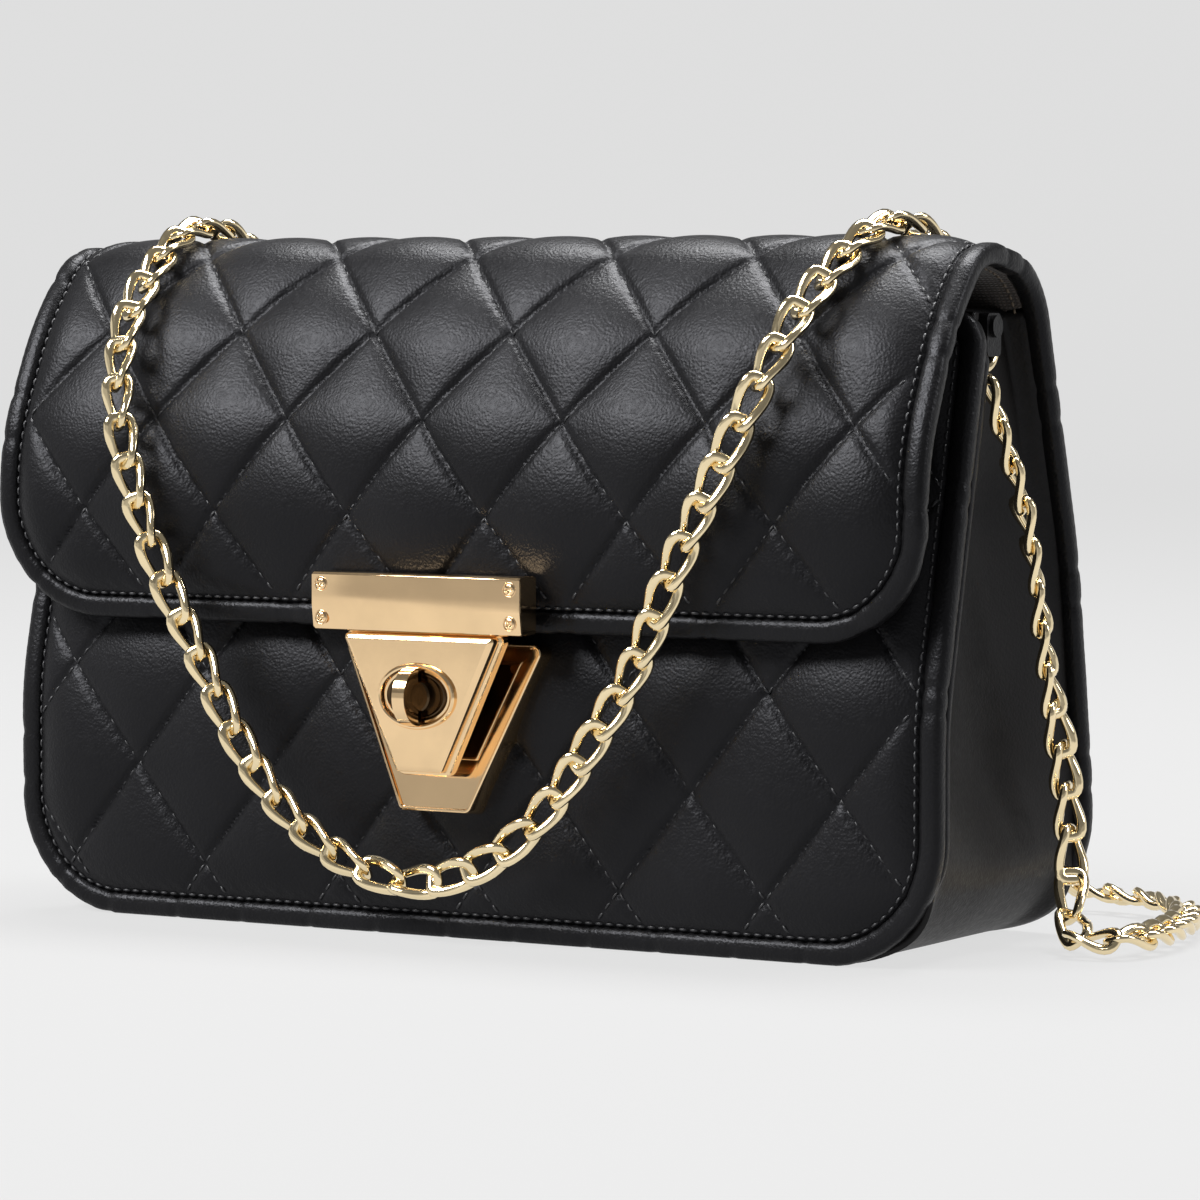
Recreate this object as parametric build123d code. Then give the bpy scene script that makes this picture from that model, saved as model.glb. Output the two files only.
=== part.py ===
from build123d import *
import math
import os

# Quilted crossbody purse with a turn lock and a chain strap. Millimetres, +Z up.
# X runs across the bag, -Y faces forward and z = 0 is the surface that it stands on.
# The origin is the middle of the flat underside.

# ---------------------------------------------------------------- driving dimensions
WIDTH = 200.0               # across the bound edges
HALF = WIDTH / 2
CORNER = 23.0               # lower corners of the front and back panels, seen from the front
FLAP_CORNER = 22.0          # lower corners of the flap
BODY_TOP = 117.0            # top edge of the front panel
FLAP_LOW = 57.7             # lower edge of the closed flap
EDGE = 4.0                  # width and depth of the rolled edge around each panel
TALL = 200.0                # beyond everything, for cutting outlines
WALL = 1.8                  # gusset leather
CLOTH = 0.8                 # lining
BOARD = 1.0                 # stiffening board
GAP = 0.1                   # between layers of one body

# side view (y, z) of the bound edges, from the bottom up at the front and down at the back
FRONT_EDGE = [(-33.0, -6.0), (-33.0, 45.0), (-15.4, 119.0)]
FRONT_EDGE_RADII = [60.0]
FLAP_EDGE = [(-38.0, FLAP_LOW), (-40.8, 89.0), (-29.1, 114.3), (-15.7, 130.0), (9.0, 125.1), (25.0, 71.5)]
FLAP_EDGE_RADII = [45.0, 60.0, 15.0, 18.0]
BACK_EDGE = [(9.0, 125.1), (25.0, 71.5), (31.5, 28.0), (31.5, -6.0)]
BACK_EDGE_RADII = [120.0, 60.0]
# outside of the padded front panel, and the front view (x, z) of the gusset's outer face
FRONT_PAD = [(-34.6, -6.0), (-36.3, 22.0), (-32.0, 56.0), (-17.9, 119.0)]
FRONT_PAD_RADII = [60.0, 80.0]
GUSSET = [(92.5, 116.0), (97.2, 50.0), (97.2, 0.0), (0.0, 0.0)]
GUSSET_RADII = [60.0, 20.0]
PAD_OUT = 2.0               # how far flap and back padding stand out beyond their rolled edges
PAD_IN = 2.3                # and how far they reach in behind them

HINGE = (14.2, 114.6)       # fold line of the flap, on the outside of the leather, at y, z
HINGE_GAP = 0.5             # between flap and back panel at the fold
BACK_SLOPE = (16.0, -53.6)  # direction of the back just below the fold

# turn lock: its half on the front panel leans with the leather, its half on the flap hangs upright
LOCK_Z = 46.0               # height of the turning axis
PLATE_TOP = (22.0, 55.5)    # half width and height of the base plate's upper edge
PLATE_LOW = (7.5, 24.3)
PLATE_LEAN = [(-42.0, 10.0), (-35.4, 70.0)]    # side view (y, z) of the plate's face
PLATE_SKIN = 1.2
STEM_R = 2.0
STEM_FIT = 0.05             # running clearance in the bushing
FIN_R = 5.4                 # half-round grip of the turn button
FIN_THICK = 2.6
FIN_BACK = -47.2            # y where the grip starts, in front of the tongue
TONGUE_TOP = (16.7, 57.2)
TONGUE_LOW = (4.9, 32.0)
TONGUE_FACE = -46.0
TONGUE_BACK = -41.6
TONGUE_SKIN = 1.0
SLOT_HALF = 2.3             # half width of the slot that the grip passes through
SLOT_UP = 6.2
SLOT_DOWN = 10.4
BAR_HALF = 22.6             # clasp bar on the flap's lower edge
BAR_Z = (57.6, 68.4)
BAR_FACE = -47.0
BAR_BACK = -41.3
SCREW_X = 20.4
SCREW_Z = (59.9, 66.1)

# chain strap: each tube has the outer size of the links
LINK_WIDTH = 6.5
CHAIN_RIGHT = [
    (97.8, -9.2, 103.4), (99.2, -7.0, 95.0), (100.6, -1.0, 82.0), (101.4, 3.5, 67.0),
    (102.1, 6.5, 51.0), (102.8, 11.5, 36.5), (103.2, 14.0, 23.5), (104.6, 12.0, 12.5),
    (107.5, 6.0, 4.5), (113.0, 0.0, 3.6), (119.0, 1.5, 3.6), (121.0, 10.0, 3.6),
    (120.0, 21.0, 3.6), (117.4, 33.0, 3.6), (112.0, 47.0, 3.6), (103.5, 58.5, 3.6),
    (92.0, 65.0, 3.6), (80.5, 65.5, 4.2), (73.0, 58.0, 9.5), (71.5, 50.5, 21.0),
    (74.0, 45.5, 33.5), (77.0, 41.6, 46.5), (79.3, 38.2, 60.0), (80.6, 33.8, 73.5),
    (81.2, 29.0, 87.0), (81.2, 23.2, 101.0),
]
CHAIN_FRONT = [
    (80.5, 10.9, 127.4), (80.2, 3.2, 132.4), (79.6, -8.5, 135.3), (78.0, -21.0, 132.5),
    (74.6, -32.5, 121.5), (70.6, -42.0, 106.5), (63.6, -46.8, 89.0), (53.6, -45.8, 70.5),
    (45.6, -44.4, 53.0), (35.8, -44.2, 38.5), (26.0, -44.2, 25.2), (14.0, -44.2, 15.5),
    (-1.5, -44.2, 10.6), (-17.0, -44.2, 14.2), (-30.5, -44.2, 22.8), (-40.5, -44.2, 35.0),
    (-48.8, -44.2, 50.0), (-57.0, -45.0, 65.0), (-63.0, -46.2, 81.0), (-67.4, -45.2, 95.0),
    (-70.5, -41.0, 107.6), (-72.0, -32.5, 121.5), (-72.2, -21.0, 132.5), (-72.2, -8.5, 135.3),
    (-72.2, 3.2, 132.4), (-72.4, 10.9, 127.4),
]
CHAIN_LEFT = [
    (-97.8, -9.2, 103.4), (-99.0, -6.8, 95.0), (-100.4, -1.0, 82.0), (-101.2, 3.0, 67.0),
    (-101.9, 7.5, 52.0), (-102.6, 10.6, 38.0), (-103.2, 14.5, 23.5), (-103.6, 21.5, 10.5),
    (-102.5, 35.0, 3.8), (-96.5, 47.5, 3.6), (-85.0, 54.5, 3.6), (-72.5, 54.5, 8.5),
    (-66.5, 49.5, 20.5), (-67.5, 44.6, 34.0), (-69.8, 40.8, 47.5), (-71.6, 37.4, 61.0),
    (-72.2, 33.2, 74.5), (-72.2, 28.8, 88.0), (-72.2, 23.2, 101.0),
]

# strap holders in the recess at the top of each gusset
TAB_X = (93.3, 97.3)
TAB_Y = (-8.8, -3.2)
TAB_Z = (108.2, 116.0)
RING_WIRE = 1.0
RING_HALF = 4.0             # half width of the D ring, to the middle of its wire
RING_BAR = (95.3, -6.0, 110.0)


# ---------------------------------------------------------------- helpers
def shifted(points, distance):
    """A corner line moved sideways by a distance, to the left of the way it runs."""
    lines = [(Vector(*b) - Vector(*a)).normalized() for a, b in zip(points, points[1:])]
    normals = [Vector(-d.Y, d.X) for d in lines]
    moved = []
    for i, point in enumerate(points):
        before = normals[max(i - 1, 0)]
        after = normals[min(i, len(normals) - 1)]
        mitre = before + after
        spot = Vector(*point) + mitre * (2 * distance / mitre.dot(mitre))
        moved.append((spot.X, spot.Y))
    return moved


def side_line(points, radii, distance):
    """The corner line at that distance, with its corners rounded about the same centres."""
    return FilletPolyline(*shifted(points, distance), radius=[r + distance for r in radii])


def between(outer, inner):
    """The flat face between two open lines that run the same way."""
    edges = Curve() + [outer, inner, Line(outer @ 0, inner @ 0), Line(outer @ 1, inner @ 1)]
    return make_face(edges)


def across(face, half=HALF + 5):
    """A side-view face drawn out across the whole width."""
    return extrude(Plane.YZ * face, amount=half, both=True)


def layer(points, radii, outside, inside):
    """One sheet of a wall, between two distances from its edge line, across the whole width."""
    return across(between(side_line(points, radii, outside), side_line(points, radii, inside)))


def outline(inset, corner=CORNER, low=0.0, top=TALL):
    """Everything inside the front view of a panel, moved in by an inset."""
    half = HALF - inset
    line = FilletPolyline((-half, top), (-half, low + inset), (half, low + inset), (half, top),
                          radius=corner - inset)
    return extrude(Plane.XZ * make_face(Curve() + [line, Line((half, top), (-half, top))]),
                   amount=TALL, both=True)


def slab(x, y, z):
    """A box from its lowest and highest x, y and z."""
    return Pos(sum(x) / 2, sum(y) / 2, sum(z) / 2) * Box(x[1] - x[0], y[1] - y[0], z[1] - z[0])


def trapezoid(top, low, grow=0.0):
    """A front-view trapezoid from (half width, height) of its upper and lower edges."""
    return [(-top[0] - grow, top[1] + grow), (-low[0] - grow, low[1] - grow),
            (low[0] + grow, low[1] - grow), (top[0] + grow, top[1] + grow)]


def plate(corners, y, radius=1.0):
    """A front-view polygon with rounded corners, drawn out between two y values."""
    face = fillet(make_face(Polyline(*corners, close=True)).vertices(), radius)
    return Pos(0, y[1], 0) * extrude(Plane.XZ * face, amount=y[1] - y[0])


def rod(radius, x, z, y):
    """A round bar along Y between two y values."""
    return Pos(x, sum(y) / 2, z) * Rot(90, 0, 0) * Cylinder(radius, y[1] - y[0])


def both_sides(make):
    """A right-hand piece and its mirror image on the left."""
    right = make()
    return right, mirror(right, about=Plane.YZ)


# ---------------------------------------------------------------- panels and their rolled edges
above_floor = slab((-TALL, TALL), (-TALL, TALL), (0, TALL))
below_top = slab((-TALL, TALL), (-TALL, TALL), (0, BODY_TOP))
hinge_plane = Plane(origin=(0, *HINGE), z_dir=(0, BACK_SLOPE[0], BACK_SLOPE[1]))
rear = slab((-TALL, TALL), (-5, TALL), (-TALL, TALL))


def below_plane(distance):
    """Everything behind and below the fold, from a distance below it."""
    cut = extrude(hinge_plane.offset(distance) * Rectangle(2 * TALL, 2 * TALL), amount=TALL)
    return cut & rear


def front_wall(outside, inside):
    return layer(FRONT_EDGE, FRONT_EDGE_RADII, outside, inside) & below_top


def back_wall(outside, inside):
    return layer(BACK_EDGE, BACK_EDGE_RADII, outside, inside) & below_plane(HINGE_GAP / 2) & above_floor


def flap_wall(outside, inside):
    return layer(FLAP_EDGE, FLAP_EDGE_RADII, outside, inside) - below_plane(-HINGE_GAP / 2)


def flap_outline(inset):
    return outline(inset, FLAP_CORNER, FLAP_LOW)


def make_front_panel():
    outer = FilletPolyline(*FRONT_PAD, radius=FRONT_PAD_RADII)
    face = between(outer, side_line(FRONT_EDGE, FRONT_EDGE_RADII, -PAD_IN))
    return across(face) & below_top & above_floor & outline(EDGE)


front_panel = make_front_panel()
front_binding = front_wall(0, -EDGE) & (outline(0) - outline(EDGE))
front_board = front_wall(-PAD_IN - GAP, -PAD_IN - GAP - BOARD) & outline(EDGE + 1.5)
front_depth = PAD_IN + 2 * GAP + BOARD
lining_front = front_wall(-front_depth, -front_depth - CLOTH) & outline(EDGE + 2.5)

back_panel = back_wall(PAD_OUT, -PAD_IN) & outline(EDGE)
back_binding = back_wall(0, -EDGE) & (outline(0) - outline(EDGE))
back_board = back_wall(-PAD_IN - GAP, -PAD_IN - GAP - BOARD) & outline(EDGE + 1.5)
lining_back = back_wall(-front_depth, -front_depth - CLOTH) & outline(EDGE + 2.5)

# ---------------------------------------------------------------- flap
flap_shell = flap_wall(PAD_OUT, -PAD_IN) & flap_outline(EDGE)
flap_binding = flap_wall(0, -EDGE) & (flap_outline(0) - flap_outline(EDGE))
flap_board = flap_wall(-PAD_IN - GAP, -3.0) & flap_outline(EDGE + 2)
flap_lining = flap_wall(-3.1, -3.9) & flap_outline(EDGE + 0.2)

# ---------------------------------------------------------------- gusset, base and inner lining
SIDE_FROM = 72.0            # where the side of the gusset strip ends and the base begins
LINED = front_depth + CLOTH + GAP


def room(depth):
    """The space between the front and back walls, that far in from their edges."""
    front = side_line(FRONT_EDGE, FRONT_EDGE_RADII, -depth)
    back = side_line(BACK_EDGE, BACK_EDGE_RADII, -depth)
    return across(make_face(Curve() + [front, back, Line(front @ 1, back @ 0), Line(back @ 1, front @ 0)]))


def gusset_layer(outside, inside):
    """One sheet of the right half of the strip that runs down the side and along the base."""
    face = between(side_line(GUSSET, GUSSET_RADII, -outside), side_line(GUSSET, GUSSET_RADII, -inside))
    strip = extrude(Plane.XZ * face, amount=TALL, both=True) & room(LINED)
    return strip & slab((SIDE_FROM + GAP, TALL), (-TALL, TALL), (-1, TALL))


def inside_gusset(gap):
    """Everything on the bag's side of the right gusset's outer face."""
    line = side_line(GUSSET, GUSSET_RADII, gap)
    corner = (0, (line @ 0).Y)
    face = make_face(Curve() + [line, Line(line @ 1, corner), Line(corner, line @ 0)])
    return extrude(Plane.XZ * face, amount=TALL, both=True)


def base_layer(low, high, half):
    return slab((-half, half), (-TALL, TALL), (low, high)) & room(LINED)


rivet_y = RING_BAR[1]
rivet_z = 113.6


def along_x(radius, x, y, z):
    return Pos(sum(x) / 2, y, z) * Rot(0, 90, 0) * Cylinder(radius, x[1] - x[0])


def make_tab():
    """A folded leather tab that holds the ring's straight bar, riveted to the gusset."""
    tab = fillet(slab(TAB_X, TAB_Y, TAB_Z).edges().filter_by(Axis.X), 1.2)
    bar_hole = Pos(RING_BAR[0], 0, RING_BAR[2]) * Rot(90, 0, 0) * Cylinder(RING_WIRE + 0.1, 40)
    return tab - bar_hole - along_x(1.25, (85, 105), rivet_y, rivet_z)


def make_rivet():
    shank = along_x(1.2, (89.5, TAB_X[1] + 0.3), rivet_y, rivet_z)
    return shank + along_x(2.0, (TAB_X[1] + 0.05, TAB_X[1] + 0.8), rivet_y, rivet_z)


def make_ring():
    """A D ring: a straight bar in the tab and a half-round loop below it."""
    x, y, z = RING_BAR
    bar = Pos(x, y, z) * Rot(90, 0, 0) * Cylinder(RING_WIRE, 2 * RING_HALF)
    loop = Pos(x, y, z) * Rot(0, 90, 0) * Torus(RING_HALF, RING_WIRE)
    loop = loop & slab((x - 5, x + 5), (y - 9, y + 9), (z - 9, z))
    corners = [Pos(x, y + side * RING_HALF, z) * Sphere(RING_WIRE * 1.1) for side in (-1, 1)]
    return loop + bar + corners


def make_pleat():
    """The folded edge of the gusset leather, just behind the front panel's rolled edge."""
    fold = layer(FRONT_EDGE, FRONT_EDGE_RADII, -EDGE - 0.5, -EDGE - 2.0) & outline(0.5)
    return (fold & slab((80, TALL), (-TALL, TALL), (24, BODY_TOP - 2.5))) - inside_gusset(GAP)


rivet_hole = along_x(1.25, (80, 105), rivet_y, rivet_z)
gusset_right, gusset_left = both_sides(lambda: gusset_layer(0, WALL) - rivet_hole)
lining_right, lining_left = both_sides(
    lambda: gusset_layer(WALL + GAP, WALL + GAP + CLOTH) - rivet_hole)
pleat_right, pleat_left = both_sides(make_pleat)
tab_right, tab_left = both_sides(make_tab)
d_ring_right, d_ring_left = both_sides(make_ring)
rivet_right, rivet_left = both_sides(make_rivet)
bottom_panel = base_layer(0, WALL, SIDE_FROM)
base_board = base_layer(WALL + GAP, 3.4, SIDE_FROM - 0.5)
lining_bottom = base_layer(3.5, 3.5 + CLOTH, SIDE_FROM - 0.2)


# ---------------------------------------------------------------- turn lock, the half on the bag
def lean(front, back):
    """The band between two depths behind the leaning face of the base plate."""
    return across(between(Polyline(*shifted(PLATE_LEAN, -front)), Polyline(*shifted(PLATE_LEAN, -back))))


def behind_pad(gap):
    """Everything behind the padded front panel's outer face."""
    line = FilletPolyline(*shifted(FRONT_PAD, gap), radius=FRONT_PAD_RADII)
    low = (40, (line @ 0).Y)
    high = (40, (line @ 1).Y)
    return across(make_face(Curve() + [line, Line(line @ 1, high), Line(high, low), Line(low, line @ 0)]))


LOCK_RIVETS = [(-15.0, 51.0), (15.0, 51.0), (0.0, 29.0)]
backing_from = -PAD_IN - GAP
backing_to = backing_from - 0.8


def make_base_plate():
    block = plate(trapezoid(PLATE_TOP, PLATE_LOW), (-48, -25)) & lean(0, 15)
    hollow = plate(trapezoid(PLATE_TOP, PLATE_LOW, -PLATE_SKIN), (-48, -25)) & lean(PLATE_SKIN, 16)
    return block - hollow - behind_pad(0.05) - rod(3.22, 0, LOCK_Z, (-50, -20))


lock_base_plate = make_base_plate()
lock_bushing = rod(3.2, 0, LOCK_Z, (-40.2, -36.0)) - rod(STEM_R + STEM_FIT, 0, LOCK_Z, (-50, -20))
lock_washer = rod(4.3, 0, LOCK_Z, (-35.9, -35.4)) - rod(STEM_R + STEM_FIT, 0, LOCK_Z, (-50, -20))
backing_shape = plate(trapezoid((18.5, 54.0), (5.0, 26.0)), (-45, -15))
rivet_holes = [rod(1.0, x, z, (-45, -15)) for x, z in LOCK_RIVETS]
lock_backing_plate = (front_wall(backing_from, backing_to) & backing_shape) - rivet_holes
front_board = front_board - plate(trapezoid((19.2, 54.7), (5.7, 25.3)), (-45, -15))
front_panel = front_panel - rivet_holes
rivet_reach = lean(PLATE_SKIN, 30) & (front_wall(30, backing_to - 0.2))
lock_rivets = [rod(0.95, x, z, (-45, -15)) & rivet_reach for x, z in LOCK_RIVETS]


def make_turn_knob():
    """A half-round grip on a stem, which turns in the bushing."""
    disc = Pos(0, FIN_BACK, LOCK_Z) * Rot(0, 90, 0) * Cylinder(FIN_R, FIN_THICK)
    grip = disc & slab((-9, 9), (-60, FIN_BACK), (0, 90))
    stem = rod(STEM_R, 0, LOCK_Z, (FIN_BACK - 1.0, -34.2))
    return grip + stem


turn_knob = make_turn_knob()
knob_clip = rod(3.3, 0, LOCK_Z, (-35.3, -34.5)) - rod(STEM_R, 0, LOCK_Z, (-50, -20))


# ---------------------------------------------------------------- turn lock, the half on the flap
SCREWS = [(x, z) for x in (-SCREW_X, SCREW_X) for z in SCREW_Z]
screw_holes = [rod(0.9, x, z, (-60, -20)) for x, z in SCREWS]


def make_bar():
    """A pressed metal cap over the flap's lower edge, open at the back."""
    block = slab((-BAR_HALF, BAR_HALF), (BAR_FACE, BAR_BACK), BAR_Z)
    block = fillet(block.edges().filter_by(Axis.Y), 0.8)
    hollow = slab((-BAR_HALF + 1.1, BAR_HALF - 1.1), (BAR_FACE + 1.2, 0), (BAR_Z[0] + 1.1, BAR_Z[1] - 1.1))
    return block - hollow - screw_holes


def make_tongue():
    """A shallow metal tray below the bar, with the slot that the grip passes through."""
    tray = plate(trapezoid(TONGUE_TOP, TONGUE_LOW), (TONGUE_FACE, TONGUE_BACK), 0.6)
    hollow = plate(trapezoid(TONGUE_TOP, TONGUE_LOW, -TONGUE_SKIN), (TONGUE_FACE + TONGUE_SKIN, 0), 0.4)
    return tray - hollow - make_slot()


def make_slot():
    low = LOCK_Z - SLOT_DOWN
    high = LOCK_Z + SLOT_UP
    corners = [(-SLOT_HALF, high), (-SLOT_HALF, low), (SLOT_HALF, low), (SLOT_HALF, high)]
    return plate(corners, (-60, -30), SLOT_HALF - 0.1)


def make_rosette():
    """The raised oval around the slot."""
    oval = Plane.XZ * Pos(0, LOCK_Z) * Ellipse(8.5, 6.2)
    return Pos(0, TONGUE_FACE, 0) * extrude(oval, amount=0.8) - make_slot()


clasp_bar = make_bar()
clasp_tongue = make_tongue()
tongue_rosette = make_rosette()
back_plate_shape = slab((-21.5, 21.5), (-60, 0), (58.6, 68.0))
clasp_back_plate = (flap_wall(-4.0, -4.8) & back_plate_shape) - screw_holes
flap_shell = flap_shell - screw_holes
flap_binding = flap_binding - screw_holes
flap_board = flap_board - screw_holes
flap_lining = flap_lining - screw_holes
screw_reach = flap_wall(30, -4.9)
clasp_screws = [(rod(0.85, x, z, (-47.3, -20)) & screw_reach) + rod(1.5, x, z, (-47.8, BAR_FACE))
                for x, z in SCREWS]


# ---------------------------------------------------------------- chain strap
def cord(points):
    """A tube of the chain's outer size: straight runs joined by arcs as large as the runs allow."""
    spots = [Vector(*p) for p in points]
    runs = [b - a for a, b in zip(spots, spots[1:])]
    radii = []
    for before, after in zip(runs, runs[1:]):
        half_turn = math.radians(before.get_angle(after)) / 2
        radii.append(0.45 * min(before.length, after.length) / math.tan(half_turn))
    path = FilletPolyline(*points, radius=radii)
    start = Plane(origin=path @ 0, z_dir=path % 0)
    tube = sweep(start * Circle(LINK_WIDTH / 2), path=path)
    full = math.pi * (LINK_WIDTH / 2) ** 2 * path.length
    print(f"length {path.length:.0f} mm, volume {tube.volume / full:.4f} of section times length")
    print("radii", " ".join(f"{r:.0f}" for r in radii))
    print("runs", " ".join(f"{r.length:.0f}" for r in runs))
    return tube


chain_right = cord(CHAIN_RIGHT)
chain_front = cord(CHAIN_FRONT)
chain_left = cord(CHAIN_LEFT)

# ---------------------------------------------------------------- one file for each piece
PIECES = {
    "front_panel": front_panel, "front_binding": front_binding, "front_board": front_board,
    "back_panel": back_panel, "back_binding": back_binding, "back_board": back_board,
    "gusset_right": gusset_right, "gusset_left": gusset_left,
    "pleat_right": pleat_right, "pleat_left": pleat_left,
    "bottom_panel": bottom_panel, "base_board": base_board,
    "lining_front": lining_front, "lining_back": lining_back, "lining_right": lining_right,
    "lining_left": lining_left, "lining_bottom": lining_bottom,
    "tab_right": tab_right, "tab_left": tab_left,
    "tab_rivets": [rivet_right, rivet_left],
    "d_ring_right": d_ring_right, "d_ring_left": d_ring_left,
    "lock_base_plate": lock_base_plate, "lock_bushing": lock_bushing,
    "lock_washer": lock_washer, "lock_backing_plate": lock_backing_plate,
    "lock_rivets": lock_rivets, "turn_knob": turn_knob, "knob_clip": knob_clip,
    "flap_shell": flap_shell, "flap_binding": flap_binding, "flap_board": flap_board,
    "flap_lining": flap_lining, "clasp_bar": clasp_bar, "clasp_tongue": clasp_tongue,
    "tongue_rosette": tongue_rosette, "clasp_back_plate": clasp_back_plate,
    "clasp_screws": clasp_screws,
    "chain_right": chain_right, "chain_front": chain_front, "chain_left": chain_left,
}

os.makedirs("parts", exist_ok=True)
for name, piece in PIECES.items():
    solids = piece if isinstance(piece, list) else [piece]
    solids = [s for group in solids for s in group.solids()]
    export_step(solids[0] if len(solids) == 1 else Compound(solids), f"parts/{name}.step")
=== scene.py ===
import bmesh
import bpy
import math
import numpy as np
from collections import namedtuple
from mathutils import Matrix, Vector


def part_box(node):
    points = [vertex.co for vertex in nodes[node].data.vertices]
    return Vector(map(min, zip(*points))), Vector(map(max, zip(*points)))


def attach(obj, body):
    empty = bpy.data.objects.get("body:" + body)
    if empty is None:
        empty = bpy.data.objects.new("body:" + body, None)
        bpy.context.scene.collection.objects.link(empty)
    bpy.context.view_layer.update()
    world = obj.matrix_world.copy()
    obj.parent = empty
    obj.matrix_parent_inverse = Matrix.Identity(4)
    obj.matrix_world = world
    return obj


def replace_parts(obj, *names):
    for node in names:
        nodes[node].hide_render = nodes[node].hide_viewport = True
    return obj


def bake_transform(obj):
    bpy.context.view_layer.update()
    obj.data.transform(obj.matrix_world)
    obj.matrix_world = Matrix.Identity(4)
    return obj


# Looks for the quilted crossbody purse. Shapes are worked out in millimetres in the CAD
# model's frame and written in metres. X runs across the bag, -Y faces forward, +Z is up.

MM = 0.001
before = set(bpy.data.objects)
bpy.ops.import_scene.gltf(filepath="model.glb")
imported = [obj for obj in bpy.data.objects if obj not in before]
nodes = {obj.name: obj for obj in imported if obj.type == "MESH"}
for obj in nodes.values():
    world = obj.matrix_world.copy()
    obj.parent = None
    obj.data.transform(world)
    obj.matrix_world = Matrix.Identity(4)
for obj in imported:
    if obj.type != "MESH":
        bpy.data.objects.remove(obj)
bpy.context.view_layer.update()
random = np.random.default_rng(11)


def high(node, axis):
    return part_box(node)[1][axis] / MM


def low(node, axis):
    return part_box(node)[0][axis] / MM


# ---------------------------------------------------------------- driving dimensions, mm
HALF = high("front_binding", 0)          # half width across the rolled edges
BODY_TOP = high("front_panel", 2)        # mouth edge of the front panel
FLAP_LOW = low("flap_binding", 2)        # lower edge of the closed flap
EDGE = 4.0                               # width and depth of the rolled edges
CORNER = 23.0
FLAP_CORNER = 22.0
HINGE = (14.2, 114.6)

# side view (y, z) of each wall's edge line, with the radii of its bends
FLAP_LINE = [(-38.0, FLAP_LOW), (-40.8, 89.0), (-29.1, 114.3), (-15.7, 130.0),
             (9.0, 125.1), (25.0, 71.5), (31.5, 28.0), (31.5, 0.0)]
FLAP_BENDS = [45.0, 60.0, 15.0, 18.0, 120.0, 60.0]
FRONT_LINE = [(-33.0, 0.0), (-33.0, 45.0), (-15.4, 119.0)]
FRONT_BENDS = [60.0]
BACK_LINE = [(9.0, 125.1), (25.0, 71.5), (31.5, 28.0), (31.5, -6.0)]
BACK_BENDS = [120.0, 60.0]
GUSSET_LINE = [(92.5, 116.0), (97.2, 50.0), (97.2, 0.0), (0.0, 0.0)]
GUSSET_BENDS = [60.0, 20.0]

# quilting: a crossing of two seams at (x, s), and the diamonds' width and height
FLAP_QUILT = {"x": -4.1, "s": 38.6, "wide": 30.0, "tall": 35.3}
FRONT_QUILT = {"x": 4.7, "s": 11.0, "wide": 30.5, "tall": 37.2}
STITCH = 2.5                             # stitch length with its gap
EDGE_STITCH = 2.2
THREAD_SHARE = 0.78                      # of a stitch's length that the thread shows on top
SEAM_IN = 4.7                            # the edge seam's distance from the outline

# turn lock
LOCK_Z = 46.0
PLATE_TOP = (22.0, 55.5)                 # half width and height of the base plate's upper edge
PLATE_LOW = (7.5, 24.3)
PLATE_FACE = (-42.0, 10.0)               # a point (y, z) on the leaning face, and its direction
PLATE_UP = (0.10934, 0.994)
TONGUE_TOP = (16.7, 57.2)
TONGUE_LOW = (4.9, 32.0)
TONGUE_FACE = -46.0
BAR_HALF = high("clasp_bar", 0)
BAR_Z = (low("clasp_bar", 2), high("clasp_bar", 2))
BAR_FACE = low("clasp_bar", 1)
BAR_BACK = -41.3
SCREW_X = 20.4
SCREW_Z = (59.9, 66.1)
FIN_R = 5.4
FIN_BACK = -47.2

# chain: curb links
LINK_WIDTH = 6.5
LINK_LONG = 11.3
WIRE = 1.75
PITCH = LINK_LONG - 2 * WIRE
SETTLE = 2.3                             # how far the links sink towards the padding on top
CHAIN_RIGHT = [
    (97.8, -9.2, 103.4), (99.2, -7.0, 95.0), (100.6, -1.0, 82.0), (101.4, 3.5, 67.0),
    (102.1, 6.5, 51.0), (102.8, 11.5, 36.5), (103.2, 14.0, 23.5), (104.6, 12.0, 12.5),
    (107.5, 6.0, 4.5), (113.0, 0.0, 3.6), (119.0, 1.5, 3.6), (121.0, 10.0, 3.6),
    (120.0, 21.0, 3.6), (117.4, 33.0, 3.6), (112.0, 47.0, 3.6), (103.5, 58.5, 3.6),
    (92.0, 65.0, 3.6), (80.5, 65.5, 4.2), (73.0, 58.0, 9.5), (71.5, 50.5, 21.0),
    (74.0, 45.5, 33.5), (77.0, 41.6, 46.5), (79.3, 38.2, 60.0), (80.6, 33.8, 73.5),
    (81.2, 29.0, 87.0), (81.2, 23.2, 101.0),
]
CHAIN_FRONT = [
    (80.5, 10.9, 127.4), (80.2, 3.2, 132.4), (79.6, -8.5, 135.3), (78.0, -21.0, 132.5),
    (74.6, -32.5, 121.5), (70.6, -42.0, 106.5), (63.6, -46.8, 89.0), (53.6, -45.8, 70.5),
    (45.6, -44.4, 53.0), (35.8, -44.2, 38.5), (26.0, -44.2, 25.2), (14.0, -44.2, 15.5),
    (-1.5, -44.2, 10.6), (-17.0, -44.2, 14.2), (-30.5, -44.2, 22.8), (-40.5, -44.2, 35.0),
    (-48.8, -44.2, 50.0), (-57.0, -45.0, 65.0), (-63.0, -46.2, 81.0), (-67.4, -45.2, 95.0),
    (-70.5, -41.0, 107.6), (-72.0, -32.5, 121.5), (-72.2, -21.0, 132.5), (-72.2, -8.5, 135.3),
    (-72.2, 3.2, 132.4), (-72.4, 10.9, 127.4),
]
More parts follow.
